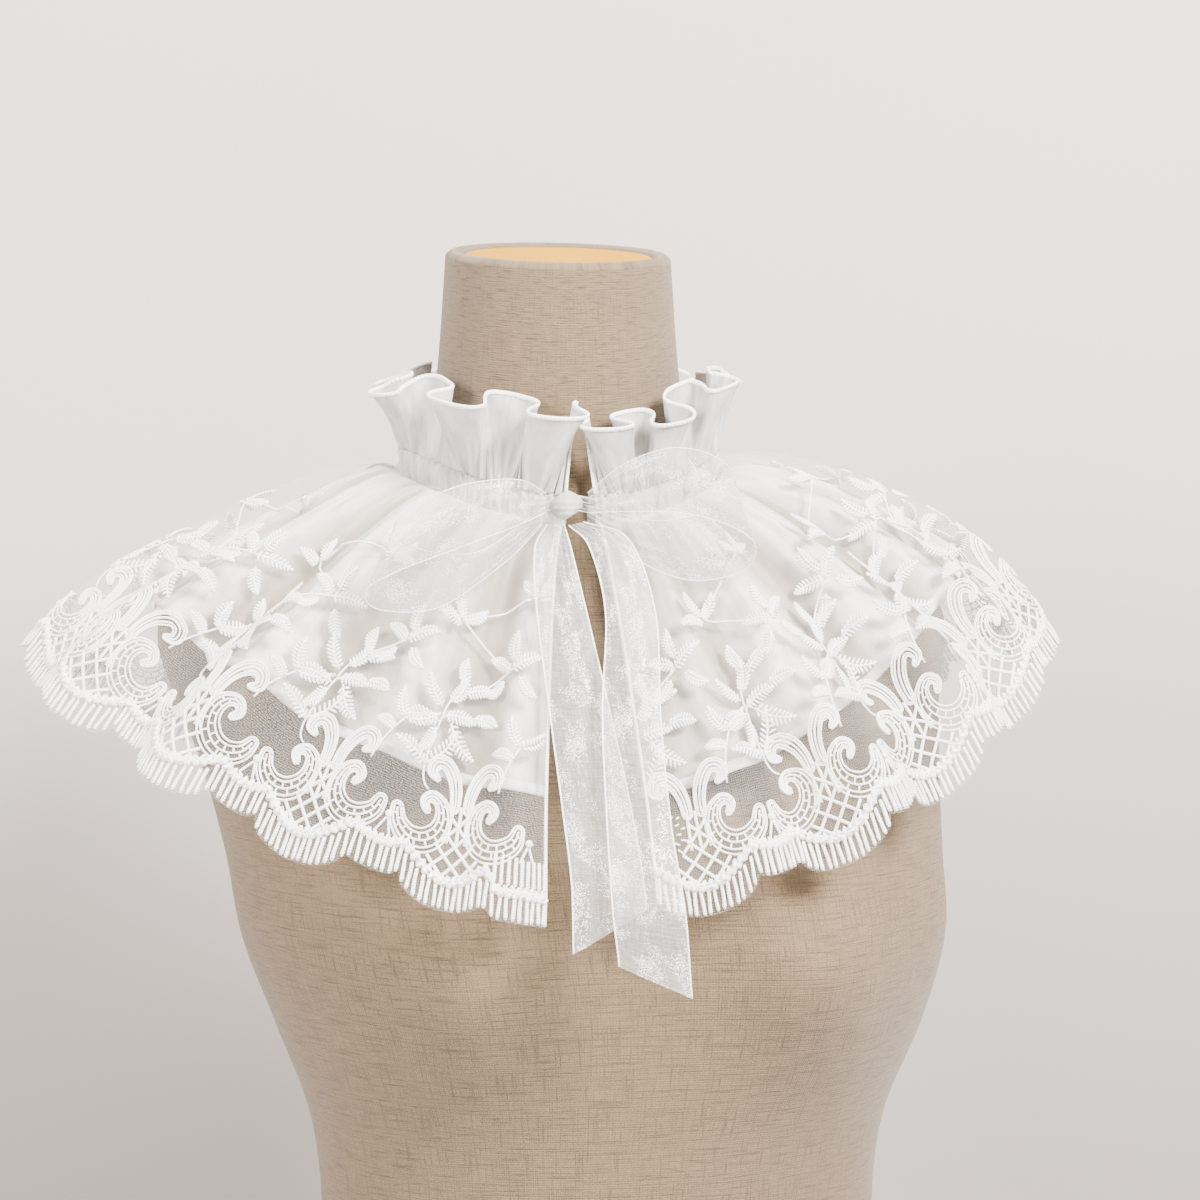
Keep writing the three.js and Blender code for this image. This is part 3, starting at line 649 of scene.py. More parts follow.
@dataclass
class DressForm:
    """A limbless linen torso with a shaped bust and a pale wooden disc in its neck."""

    columns: int = 168
    bust_reach: float = 19.0
    bust_half_apart: float = 75.0
    bust_height: float = 300.0
    bust_half_size: tuple[float, float] = (36.0, 44.0)
    neck_top: float = 590.0
    neck_slope: float = 0.16
    neck_middle: float = -2.5
    girth: float = 800.0
    cap_girth: float = 248.0
    lip_inset: float = 5.2
    lip_rise: float = 2.6
    cap_columns: int = 96
    # radius and lift of the two rings of the recess that the cap sits in
    recess: Array = table((39.9, 1.2), (39.85, -3.1))
    # radius and lift of the cap's rings, and how far along its skin each one is
    cap: Array = table(
        (39.4, -2.85, 0),
        (39.5, -2.0, 1),
        (39.5, 0.2, 3),
        (39.3, 0.8, 4),
        (38.8, 1.05, 5),
        (36.0, 1.12, 8),
        (12.0, 1.14, 30),
    )
    # height, half width, front, back, sway, lean and roundness of each section
    sections: Array = table(
        (0, 156, 98, 100, 17, 0, 2.3),
        (60, 150, 97, 98, 17, 0, 2.3),
        (120, 131, 90, 83, 17, 0, 2.2),
        (175, 119, 86, 70, 17, 0, 2.2),
        (225, 122.5, 93, 75, 17, 0, 2.2),
        (270, 139.5, 103, 84, 18, 0, 2.2),
        (305, 150.5, 109, 90, 16, 0, 2.2),
        (340, 153, 107, 93, 12, 0, 2.2),
        (375, 157, 99, 91, 7, 0, 2.2),
        (405, 163, 88, 87, 2, 0, 2.1),
        (426, 168, 80, 82, 0, 0, 2.0),
        (441, 167, 74, 78, 0, 0.01, 1.9),
        (454, 156, 69, 73, 0, 0.03, 1.8),
        (467, 136, 65, 69, 0, 0.06, 1.75),
        (479, 112, 61.5, 65, 0, 0.09, 1.75),
        (488, 85, 59, 61, 0, 0.12, 1.85),
        (493, 65, 57, 57.4, 0, 0.14, 1.95),
        (500, 56.2, 55.8, 55.6, 0, 0.16, 2.0),
        (511, 54.4, 54.5, 54.5, 0, 0.17, 2.0),
        (550, 50.4, 52, 49, 0, 0.17, 2.0),
        (590, 47.6, 50, 45, 0, 0.16, 2.0),
    )

    def skin(self, height: Array, inset: Array, lift: Array) -> Array:
        """Rings of the form's skin.

        A ring is a superellipse: half width times the sine, and front or back times the cosine, both to 2
        over the roundness. The bust is a pair of bell-shaped swellings, and the ring leans forward or back.

        Args:
            height: the height of each ring.
            inset: how far inside the skin each ring lies.
            lift: how far each ring is raised.

        Returns:
            Points, rings by columns by 3.
        """
        keys = self.sections[:, 0]
        half, front, back, sway, lean, roundness = (
            table_value(keys, self.sections[:, c], height)[:, None] for c in range(1, 7)
        )
        angle = np.linspace(np.pi, 3 * np.pi, self.columns, endpoint=False)[None]
        sine, cosine = np.sin(angle), np.cos(angle)
        reach = np.where(cosine > 0, front, back) - inset[:, None]
        x = (half - inset[:, None]) * signed_power(sine, 2 / roundness)
        y = -reach * signed_power(cosine, 2 / roundness)
        across = (np.abs(x) - self.bust_half_apart) / self.bust_half_size[0]
        up = (height[:, None] - self.bust_height) / self.bust_half_size[1]
        y = y - self.bust_reach * smooth(cosine * 1.6) * np.exp(-(across**2) - up**2)
        return np.stack([x + sway, y, height[:, None] + lean * y + lift[:, None]], axis=-1)

    def neck_rings(self, rows: Array, columns: int) -> Array:
        """Round rings in the slanted plane of the neck's top, from rows of a radius and a lift."""
        radius, lift = rows[:, :1], rows[:, 1:2]
        angle = np.linspace(np.pi, 3 * np.pi, columns, endpoint=False)[None]
        x, y = radius * np.sin(angle), self.neck_middle - radius * np.cos(angle)
        return np.stack([x, y, self.neck_top + self.neck_slope * y + lift], axis=-1)

    def build(self) -> None:
        """Makes the torso and its cap."""
        wall = np.concatenate([[0.0, 0.0], np.linspace(2, 470, 120), np.linspace(473, 589, 46)])
        edge = np.linspace(0, 1, 9)
        heights = np.concatenate([wall, np.full(edge.size, self.neck_top)])
        inset = np.concatenate([[6.0, 1.2], np.zeros(wall.size - 2), self.lip_inset * edge**1.2])
        lift = np.concatenate([np.zeros(wall.size), self.lip_rise * np.sin(np.pi * (edge * 0.72))])
        rings = np.concatenate([self.skin(heights, inset, lift), self.neck_rings(self.recess, self.columns)])
        rise = np.concatenate([heights, self.neck_top + np.array([6.0, 10.0])])
        torso = turned_body(rings, self.girth, rise).piece("torso_linen")
        dress(torso, Finish.LINEN, ("form_torso",))
        cap = turned_body(self.neck_rings(self.cap, self.cap_columns), self.cap_girth, self.cap[:, 2])
        dress(cap.piece("neck_cap_disc"), Finish.WOOD, ("form_neck_cap",))


# ------------------------------------------------------------------ the shape of the hanging cape


@dataclass
class CapeShape:
    """The hanging surface that the lace and its lining share, as a fine grid over the strip of cloth."""

    repeats: int = 20
    columns: int = 1600
    rows: int = 131
    gathers_each: int = 9
    # half the angle between the front edges at the neck, and each edge's angle and swell down to the hem
    neck_half: float = 5.0
    right_hem: float = 5.5
    right_swell: float = 1.0
    left_hem: float = 6.5
    left_swell: float = 2.5
    # how deep a ring is, and the puff, the hem's reach and the hem's rise at the shoulders at +X and -X
    fullness: float = 0.86
    puff: tuple[float, float] = (10.0, 0.5)
    hem_reach: tuple[float, float] = (0.955, 1.005)
    hem_rise: tuple[float, float] = (9.0, 1.0)
    # the large scallop's share of a repeat, both scallops' depths, and their depths with rounded cusps
    large_share: float = 0.66
    depths: tuple[float, float] = (10.5, 3.2)
    soft_depths: tuple[float, float] = (10.2, 2.6)
    # share of the hem from where the left front corner hangs loose, the share that it eases in, and its depth
    corner_share: float = 0.0221
    corner_ease: float = 0.0051
    corner_depth: float = 11.5
    # share of the length, then side, its height, front, its height, back and its height
    sections: Array = table(
        (0, 67, 500, 64, 481, 64, 510),
        (0.06, 76, 498.5, 68, 474, 69, 504),
        (0.14, 89, 494.5, 74, 464, 75, 492),
        (0.3, 113, 482.5, 87, 440, 86, 461),
        (0.5, 143, 465.5, 103, 406, 97, 425),
        (0.7, 174, 448.5, 117, 374, 104, 389),
        (0.85, 193, 435, 125, 354, 107, 362),
        (1, 208, 419, 131, 338, 109, 337),
        (1.15, 221.5, 401, 137, 317, 110.5, 311.5),
    )
    # angle, spread and height of each fold
    folds: Array = table(
        (18, 7, 8),
        (33, 9, 15),
        (51, 9, 15),
        (68, 9, 13),
        (86, 10, 14),
        (104, 8, 12),
        (121, 9, 13),
        (139, 9, 15),
        (157, 9, 12),
        (175, 9, 14),
        (193, 9, 11),
        (211, 9, 15),
        (229, 8, 12),
        (246, 9, 14),
        (264, 10, 18),
        (289, 10, 15),
        (311, 10, 17),
        (332, 10, 9),
        (349, 7, 11),
    )

    def __post_init__(self) -> None:
        """Measures the hem and lays out the grid."""
        angle = np.linspace(self.right_hem, 360 - self.left_hem, 4001)
        at_hem = np.ones_like(angle)
        gone = path_length(self.lifted(angle, at_hem, self.fold_lift(angle, at_hem)))
        self.hem = float(gone[-1])
        self.pitch = self.hem / self.repeats
        self.shares = np.linspace(0, 1.15, self.rows)
        self.hem_angle = np.interp(np.linspace(0, self.hem, self.columns + 1), gone, angle)
        along = np.linspace(0, 1, self.columns + 1)
        share = self.shares[:, None] + 0 * along[None]
        turned = self.opened(self.hem_angle[None], share)
        gathers = self.gathers(along[None] * self.repeats * self.gathers_each, share)
        self.grid = self.lifted(turned, share, self.fold_lift(turned, share) + gathers)
        self.normals = grid_normals(self.grid)
        self.cusps = int(np.searchsorted(self.shares, 0.9999))
        width = np.linalg.norm(np.diff(self.grid, axis=1), axis=2).sum(1)
        self.narrowing = width / width[self.cusps]
        self.heights = self.hung_heights()

    def hung_heights(self) -> Array:
        """Height of each row above the cusps, measured down the ground's surface, for every column."""
        angle = self.opened(self.hem_angle[None], self.shares[:, None])
        steps = np.linalg.norm(np.diff(self.ground(angle, self.shares[:, None]), axis=0), axis=2)
        down = np.vstack([np.zeros(steps.shape[1]), np.cumsum(steps, axis=0)])
        return down[self.cusps] - down

    def row_of(self, column: Array, t: Array) -> Array:
        """The row, with its fraction, at a height above the cusps.

        The heights of the nearest column fall steadily from row to row, so each one's place is found by
        halving the span of rows until it is one row wide.
        """
        nearest = np.round(column).astype(int)
        last = self.rows - 1
        low, high = np.zeros(np.shape(t), dtype=int), np.full(np.shape(t), last)
        for _ in range(int(np.ceil(np.log2(self.rows))) + 1):
            middle = (low + high) // 2
            above = self.heights[middle, nearest] > t
            low, high = np.where(above, middle, low), np.where(above, high, middle)
        high = np.minimum(np.maximum(high, low + 1), last)
        low = high - 1
        top, bottom = self.heights[low, nearest], self.heights[high, nearest]
        return low + np.clip((top - t) / (top - bottom), 0, 0.9999)

    def ground(self, angle: Array, share: Array) -> Array:
        """The surface through the valleys of the folds.

        A ring is half the width times the sine across, and front or back times a power of the cosine deep.
        Its height runs from the side's to the front's or back's with the cosine squared, and the shoulders
        puff.
        """
        keys = self.sections[:, 0]
        side, side_up, front, front_up, back, back_up = (
            table_value(keys, self.sections[:, c], share) for c in range(1, 7)
        )
        sine, cosine = np.sin(np.radians(angle)), np.cos(np.radians(angle))
        ahead = cosine > 0
        sides = (self.puff, self.hem_reach, self.hem_rise)
        puff, reach, raised = (np.where(sine > 0, *pair) for pair in sides)
        x = side * sine * (1 + (reach - 1) * share)
        y = -np.where(ahead, front, back) * signed_power(cosine, self.fullness)
        drop = np.where(ahead, front_up, back_up) - side_up
        shoulder = puff * np.sin(np.pi * np.clip(share, 0, 1)) + raised * share
        z = side_up + drop * cosine**2 + shoulder * sine**2
        return np.stack(np.broadcast_arrays(x, y, z), axis=-1)

    def lifted(self, angle: Array, share: Array, lift: Array) -> Array:
        """Points off the surface by lift, along its outward normal."""
        low = np.maximum(share - 0.01, 0)
        around = self.ground(angle + 0.5, share) - self.ground(angle - 0.5, share)
        down = self.ground(angle, low + 0.02) - self.ground(angle, low)
        return self.ground(angle, share) + unit(np.cross(down, around)) * lift[..., None]

    @staticmethod
    def fold_rise(share: Array) -> Array:
        """How much of their height the folds have: a power of a quarter sine down the cloth."""
        return np.sin(np.clip(share, 0, 1) * np.pi / 2) ** 0.65

    def fold_lift(self, angle: Array, share: Array) -> Array:
        """How far the folds stand off the valleys: squared cosines that swell down the cloth."""
        rise = self.fold_rise(share)
        total = np.zeros(np.broadcast(angle, share).shape)
        for centre, spread, height in self.folds:
            away = np.abs((angle - centre + 540) % 360 - 180) / spread
            total += np.where(away < 1, height * rise * np.cos(0.5 * np.pi * np.minimum(away, 1)) ** 2, 0)
        return total

    def gathers(self, column: Array, share: Array) -> Array:
        """The gathers under the seam, with finer uneven ones and faint creases that run down the cloth."""
        fade = smooth(share / 0.05) * (1 - smooth(share / 0.3))
        even = 2.6 * fade * (0.5 + 0.5 * np.cos(2 * np.pi * column / 3 + 1.2 * np.sin(column / 5)))
        fine_fade = 0.45 * smooth(share / 0.04) * (1 - smooth(share / 0.55))
        fine = fine_fade * np.sin(column * 3.7 + 2 * np.sin(column / 7))
        return even + fine + self.soft_folds(column, share)

    @staticmethod
    def soft_folds(column: Array, share: Array) -> Array:
        """Uneven folds between the large ones: three waves that run down the cloth and lean a little."""
        wide = half_wave(0.61 * column + 1.4 * np.sin(0.13 * column) - 1.1 * share) ** 2
        middle = half_wave(1.13 * column + 2.2 * np.sin(0.21 * column + 2) + 1.6 * share) ** 2
        narrow = half_wave(2.07 * column + 1.7 * np.sin(0.33 * column) - 2.3 * share) ** 2
        fade = smooth(share / 0.1)
        low = 1 - 0.55 * smooth((share - 0.55) / 0.45)
        return fade * low * (1.9 * wide + 1.7 * middle * (1 - 0.4 * share) + 1.1 * narrow * (1 - 0.7 * share))

    def opened(self, angle: Array, share: Array) -> Array:
        """Angles higher up the cloth: the front edges swell apart below the neck and close again at the hem.

        An edge's angle runs from the neck's to the hem's with the share to 1.3, and the swell is the sine of
        half a turn times the share's root.
        """
        along = (angle - self.right_hem) / (360 - self.left_hem - self.right_hem)
        down = np.clip(share, 0, 1)
        swell = np.sin(np.pi * np.sqrt(down))
        right = self.neck_half + (self.right_hem - self.neck_half) * down**1.3 + self.right_swell * swell
        left = self.neck_half + (self.left_hem - self.neck_half) * down**1.3 + self.left_swell * swell
        return right + (360 - left - right) * along

    def at(self, u: Array, t: Array, lift: Array | float) -> tuple[Array, Array]:
        """Points and normals of the cloth.

        Args:
            u: distance along the hem.
            t: height above the scallops' cusps.
            lift: how far off the cloth.

        Returns:
            The points and the unit normals, each with one more axis than u.
        """
        u, t = np.broadcast_arrays(u, t)
        column = np.clip(u / self.hem * self.columns, 0, self.columns - 1e-6)
        row = self.row_of(column, t)
        c, r = column.astype(int), row.astype(int)
        fc, fr = (column - c)[..., None], (row - r)[..., None]
        point, normal = (
            (1 - fr) * ((1 - fc) * grid[r, c] + fc * grid[r, c + 1])
            + fr * ((1 - fc) * grid[r + 1, c] + fc * grid[r + 1, c + 1])
            for grid in (self.grid, self.normals)
        )
        normal = unit(normal)
        return point + normal * np.asarray(lift, dtype=float)[..., None], normal

    def ratio(self, t: Array) -> Array:
        """How much narrower the cloth hangs at a height t than at the hem."""
        heights = self.heights.mean(1)
        return np.interp(-np.asarray(t), -heights, self.narrowing)

    def scallop(self, u: Array, soft: float = 0.0) -> Array:
        """Depth of the edge below its cusps: a large arc and a small one in each repeat.

        Args:
            u: distance along the hem.
            soft: 0 for the cut edge; 1 rounds the cusps off, as in the band above the bars.

        Returns:
            The depths in millimetres.
        """
        place = (u / self.pitch) % 1
        wide, small = self.large_share, place >= self.large_share
        x_large, x_small = place / wide, (place - wide) / (1 - wide)
        hard = np.where(small, self.depths[1] * half_circle(x_small), self.depths[0] * half_circle(x_large))
        round_large = self.soft_depths[0] * np.maximum(np.sin(np.pi * np.minimum(x_large, 1)), 0) ** 1.1
        round_small = self.soft_depths[1] * np.sin(np.pi * np.clip(x_small, 0, 1))
        return hard * (1 - soft) + np.where(small, round_small, round_large) * soft

    def top(self, u: Array) -> Array:
        """Height of the neck seam above the cusps."""
        return self.heights[0, np.round(u / self.hem * self.columns).astype(int)]

    def corner(self, u: Array) -> Array:
        """1 at the left front edge, where the corner hangs loose below the scallops, and 0 elsewhere."""
        return smooth((u / self.hem - 1 + self.corner_share) / self.corner_ease)

    def edge(self, u: Array) -> Array:
        """Depth of the cut edge, with the loose corner."""
        loose = self.corner(u)
        return self.scallop(u) * (1 - loose) + self.corner_depth * loose


# ------------------------------------------------------------------ the lace


@dataclass
class LaceCape:
    """The embroidered net: its mesh, a comb of bars under a knobbly band, lattice, scrolls and leaves."""

    shape: CapeShape
    bar_pitch: float = 2.7
    bar_length: float = 10.0
    bar_wide: float = 1.3
    band_lengths: int = 160
    lattice_pitch: float = 5.6
    lattice_wide: float = 1.15
    lattice_middle: float = 14.0
    lattice_top: float = 26.0
    cord_wide: float = 0.72
    cord_tall: float = 0.95
    stem_size: tuple[float, float] = (0.68, 0.6)
    # how far off the cloth a cord's middle lies, as a share of its height
    raised: float = 0.32
    # how near to a front edge a shape of the embroidery may come, and how far in the edge's own hem lies
    clear: float = 1.5
    inset: float = 0.6
    stitches: int = 9
    stitch_wide: tuple[float, float, float] = (0.7, 0.92, 0.55)
    panels: tuple[str, ...] = ("front_right", "back_right", "back_left", "front_left")
    # height, and half the lattice's width there
    lattice_half: Array = table((0, 16), (5, 14.5), (10, 10), (16, 6.8), (22, 4.6), (27, 4.8))
    # the middle line of a scroll: its distance from the small scallop's middle, its height and half its width
    scroll: Array = table(
        (5.0, 22.0, 2.4),
        (6.5, 17.0, 3.6),
        (11.5, 13.2, 4.3),
        (17.5, 13.2, 4.5),
        (22.5, 17.0, 4.3),
        (24.6, 23.0, 3.7),
        (23.0, 28.8, 3.0),
        (18.6, 31.0, 2.3),
        (15.6, 28.0, 1.7),
        (17.4, 25.0, 1.2),
    )
    # the middle line of a hook: its distance from the large scallop's middle and its height
    hook: Array = table(
        (2.9, 29),
        (3.4, 35),
        (5.4, 40.6),
        (9.4, 44.8),
        (13.6, 44.2),
        (15.0, 40.2),
        (12.4, 38.2),
    )
    # one repeat's leaves from the middle of its large scallop: across, up, direction, length and width
    border_leaves: Array = table(
        (-19, 42, 160, 16, 5.8),
        (-19, 42, 58, 20, 6.2),
        (-17, 60, 194, 16, 6.2),
        (-18, 57, 244, 12, 5.4),
        (-15, 63, 4, 14, 5.8),
        (-3, 66, -10, 13, 5.6),
        (-12, 61, -42, 18, 6.4),
        (-17, 66, 130, 14, 5.8),
        (-14, 69, 66, 13, 5.6),
        (-8, 75, 14, 13, 5.4),
        (-9, 77, 96, 12, 5.2),
        (22, 55, 116, 14, 5.4),
        (22, 55, 34, 15, 5.6),
        (20, 50, 168, 10, 4.8),
    )
    # the same for the sprigs higher up
    field_leaves: Array = table(
        (6, 87, 158, 13, 5.4),
        (6, 87, 26, 15, 5.6),
        (7, 91, 92, 13, 5.4),
        (3, 83, 222, 10, 4.8),
        (10, 84, -40, 12, 5.0),
    )
    # the same for the highest sprigs, which grow on every second repeat
    upper_leaves: Array = table(
        (-21, 103, 104, 13, 5.2),
        (-21, 103, 38, 13, 5.0),
        (-22, 101, 172, 12, 5.0),
        (13, 119, 70, 11, 4.6),
        (13, 119, 140, 11, 4.6),
        (13, 118, 12, 10, 4.4),
    )
    # stems of one repeat: where they start, their middle and their end, each across and up
    stems: Array = table(
        (-15, 33, -18, 36, -19, 42),
        (-19, 42, -18, 52, -16, 62),
        (-16, 62, -9, 65, -3, 66),
        (-16, 62, -14, 70, -9, 77),
        (16, 36, 18, 46, 22, 55),
        (-9, 77, -2, 82, 6, 87),
        (6, 87, -6, 94, -21, 103),
        (-21, 103, -4, 112, 13, 119),
    )

    def build(self) -> None:
        """Makes the net and every layer of its embroidery."""
        net = self.net()
        layers = [self.comb(), self.band(), self.lattice(), self.scrolls(), self.hooks(), self.dots()]
        layers += [
            self.leaves("border_leaves", self.border_leaves, 0.0),
            self.leaves("field_leaves", self.field_leaves, 0.5),
            self.leaves("upper_leaves", self.upper_leaves, 0.5, 2),
            self.stem_lines(),
            self.front_edges(),
        ]
        for layer in layers:
            dress(layer, Finish.THREAD)

    def middles(self) -> Array:
        """Distance along the hem of the middle of each large scallop."""
        return (np.arange(self.shape.repeats) + self.shape.large_share / 2) * self.shape.pitch

    def spread(self, across: Array, up: Array, shift: float = 0.0, every: int = 1) -> tuple[Array, Array]:
        """Puts a shape of one repeat on every repeat, widened where the cloth is gathered narrower.

        Args:
            across: distances from the middle of the large scallop, shapes by points.
            up: heights, in the same shape.
            shift: moves every other repeat across, in millimetres.
            every: how many repeats there are for each that has the shape.

        Returns:
            u and t, repeats times shapes by points.
        """
        wide = across / self.shape.ratio(up)
        repeats = np.arange(self.shape.repeats)[every - 1 :: every]
        place = self.middles()[repeats][:, None, None] + wide[None] + shift * (repeats % 2)[:, None, None]
        steps = across.shape[-1]
        u = place.reshape(-1, steps)
        t = np.broadcast_to(up[None], place.shape).reshape(-1, steps)
        keep = (u.min(1) > self.clear) & (u.max(1) < self.shape.hem - self.clear)
        return u[keep], t[keep]

    def stitched(self, u: Array, t: Array, wide: Array | float, tall: Array | float, sides: int = 4) -> Shape:
        """Cords laid on the cloth along lines of u and t."""
        centre, normal = self.shape.at(u, t, np.asarray(tall, dtype=float) * self.raised + 0 * u)
        return cords(centre, normal, wide, tall, sides)

    def net(self) -> Piece:
        """The net itself, one thin layer down to just past the bars' ends."""
        past = 0.6
        u = np.linspace(0, self.shape.hem, 761)[None]
        low, high = -self.shape.edge(u) - past, self.shape.top(u)
        share = (np.linspace(0, 1, 64) ** 0.9)[:, None]
        t = high * (1 - share) + low * share
        points, _ = self.shape.at(u + 0 * t, t, 0.0)
        flat = np.stack(np.broadcast_arrays(u * 0.5 * (1 + self.shape.ratio(t)), t), axis=-1)
        piece = surface(points, flat).piece("cape_net")
        return dress(piece, Finish.NET, tuple(f"lace_cape_{panel}" for panel in self.panels))

    def comb(self) -> Piece:
        """Satin bars, hung side by side from the band to the edge."""
        count = int(self.shape.hem / self.bar_pitch)
        u = (np.arange(count) + 0.5)[:, None] * self.shape.hem / count
        low = -self.shape.edge(u) - 0.3 * np.sin(u * 5.1)
        share = np.array([[0, 0.12, 0.3, 0.5, 0.7, 0.88, 1.0]])
        t = low + (self.bar_length + 0.6) * (1 - share)
        wide = self.bar_wide * np.array([[0.7, 1.0, 0.9, 1.0, 0.95, 1.1, 0.6]]) * (1 + 0 * u)
        bars = self.stitched(u + 0.25 * np.sin(3 * share + u), t, wide, 1.15)
        inner, higher = self.shape.corner(u)[:, 0] > 0.5, 12.5
        again = self.stitched((u + 0 * share)[inner], t[inner] + higher, wide[inner], 1.1)
        return Shape.joined([bars, again]).piece("border_bars")

    def band_height(self, u: Array) -> Array:
        """Height of the band that the bars hang from."""
        loose = self.shape.corner(u)
        return self.bar_length - self.shape.scallop(u, 1.0) * (1 - loose) - self.shape.corner_depth * loose

    def band(self) -> Piece:
        """The knobbly zigzag band, in short lengths that follow one another."""
        steps = 22
        u = np.linspace(self.inset, self.shape.hem - self.inset, self.band_lengths * steps + 1)
        u = u[np.arange(self.band_lengths)[:, None] * steps + np.arange(steps + 1)[None]]
        t = self.band_height(u) + 1.0 * np.sin(2 * np.pi * u / self.bar_pitch)
        knob = np.sin(2 * np.pi * u / (self.bar_pitch / 2))
        lower = self.stitched(u, t, 2.0 + 0.6 * knob, 1.4 + 0.5 * knob)
        upper = self.stitched(u, t + 1.4 + 0.7 * np.sin(4 * np.pi * u / self.bar_pitch), 1.1, 1.1)
        return Shape.joined([lower, upper]).piece("border_band")

    def lattice(self) -> Piece:
        """Crossing slanted lines in each large scallop, with a ladder of lines up between the scrolls."""
        lines, steps, slope = 25, 400, math.sqrt(0.5)
        start = (np.arange(lines) - lines // 2)[:, None] * self.lattice_pitch * math.sqrt(2)
        run = np.linspace(-45, 45, steps)[None]
        share = np.linspace(0, 1, 9)[None]
        sets = []
        for side in (1, -1):
            x = side * (run * slope) + start
            y = run * slope + self.lattice_middle + 0 * start
            half = np.interp(y, self.lattice_half[:, 0], self.lattice_half[:, 1])
            floor = self.band_height(self.shape.pitch * self.shape.large_share / 2 + x)
            inside = (np.abs(x) < half) & (y > floor) & (y < self.lattice_top)
            kept = inside.sum(1) > 12
            first = inside.argmax(1)[kept]
            last = (steps - 1 - inside[:, ::-1].argmax(1))[kept]
            low = np.floor(first[:, None] * (1 - share) + last[:, None] * share).astype(int)
            rows = np.arange(len(first))[:, None]
            sets.append((x[kept][rows, low], y[kept][rows, low]))
        legs = np.array([-3.6, 0.2, 3.8])[:, None]
        sets.append((legs * (1.1 - 0.2 * share), 15 + 15 * share + 0 * legs))
        u, t = self.spread(*(np.vstack(part) for part in zip(*sets)))
        return self.stitched(u, t, self.lattice_wide, self.cord_tall).piece("border_lattice")

    @staticmethod
    def scroll_lines(path: Array, half: Array, loops: int, count: int) -> list[Array]:
        """Closed loops of cord, one inside the next, round the path's line.

        Args:
            path: the middle line, points by 2.
            half: half the scroll's width at each point.
            loops: how many loops lie inside one another.
            count: points on each loop.

        Returns:
            One closed line for each loop, then the middle line.
        """
        along, side = side_of(path)
        turn = np.linspace(0, np.pi, 7)[1:-1, None]
        lines = []
        for loop in range(loops):
            reach = (half * (1 - loop / (loops + 0.5)))[:, None]
            tip = path[-1] + reach[-1] * (np.cos(turn) * side[-1] + np.sin(turn) * along[-1])
            tail = path[0] + reach[0] * (-np.cos(turn) * side[0] - np.sin(turn) * along[0])
            left, right = path + reach * side, path - reach * side
            lines.append(resampled(np.vstack([left, tip, right[::-1], tail, left[:1]]), count))
        lines.append(resampled(path, count))
        return lines

    def scrolls(self) -> Piece:
        """Mirrored pairs of C-shaped scrolls of nested cords over the small scallops, tied across."""
        spine = route_value(self.scroll, np.linspace(0, len(self.scroll) - 1, 52))
        path, half = resampled(spine[:, :2], 48), spine[np.linspace(0, 51, 48).astype(int), 2]
        lines = np.stack(self.scroll_lines(path, half, 2, 84))
        _, side = side_of(path)
        ties = []
        for first, near, far in ((2, -0.6, 0.0), (4, 0.0, 0.6)):
            at = np.arange(first, 44, 4)
            share = np.linspace(near, far, 3)[None, :, None]
            ties.append(path[at][:, None] + (half[at][:, None] * side[at])[:, None] * share)
        shapes: list[Shape] = []
        for mirror in (1, -1):
            place = mirror * self.shape.pitch * 0.5
            for group, wide, tall in ((lines, self.cord_wide, self.cord_tall), (np.vstack(ties), 0.7, 0.6)):
                u, t = self.spread(place - mirror * group[:, :, 0], group[:, :, 1])
                shapes.append(self.stitched(u, t, wide, tall))
        return Shape.joined(shapes).piece("border_scrolls")

    def hooks(self) -> Piece:
        """A pair of horn-shaped curls that stand over each lattice and turn away from each other."""
        path = route_value(self.hook, np.linspace(0, len(self.hook) - 1, 40))
        half = np.interp(np.linspace(0, 1, 40), [0, 0.4, 0.8, 1], [1.9, 2.7, 2.2, 1.1])
        lines = np.stack(self.scroll_lines(path, half, 2, 60))
        shapes = []
        for mirror in (1, -1):
            u, t = self.spread(mirror * lines[:, :, 0], lines[:, :, 1])
            shapes.append(self.stitched(u, t, self.cord_wide, self.cord_tall))
        return Shape.joined(shapes).piece("border_hooks")

    def dots(self) -> Piece:
        """A round knot on two short legs in the middle of each small scallop."""
        half = self.shape.pitch * 0.5
        steps = np.linspace(-1, 1, 7)[None]
        u, t = self.spread(half + 1.5 * steps, 18.2 + 0 * steps)
        ball = self.stitched(u, t, 3.4 * np.sqrt(np.maximum(1 - steps**2, 0.04)) + 0 * u, 1.9, sides=6)
        share = np.linspace(0, 1, 5)[None]
        legs = np.array([-3.2, 3.2])[:, None]
        u, t = self.spread(half + legs * (1 - share), 10 + 7.4 * share + 0 * legs)
        return Shape.joined([ball, self.stitched(u, t, 0.8, 0.7)]).piece("border_dots")

    def leaves(self, name: str, rows: Array, stagger: float, every: int = 1) -> Piece:
        """Fern-like leaves: slanted satin stitches on both sides of a midrib.

        Args:
            name: the piece's name.
            rows: across, up, direction, length and width of each leaf in a repeat.
            stagger: how far every other repeat's leaves move along, as a share of a quarter repeat.
            every: how many repeats there are for each that has the leaves.

        Returns:
            The piece.
        """
        x, y, turn, length, width = (rows[:, c][:, None, None] for c in range(5))
        turn = np.radians(turn)
        shift = stagger * self.shape.pitch / 4
        shapes = []

        def lay(ahead: Array, beside: Array, wide: tuple | float, tall: float) -> None:
            """Stitches lines that run so far along each leaf and so far to its left."""
            across = x + ahead * np.cos(turn) - beside * np.sin(turn)
            up = y + ahead * np.sin(turn) + beside * np.cos(turn)
            steps = ahead.shape[-1]
            u, t = self.spread(across.reshape(-1, steps), up.reshape(-1, steps), shift, every)
            shapes.append(self.stitched(u, t, np.asarray(wide) + 0 * u, tall))

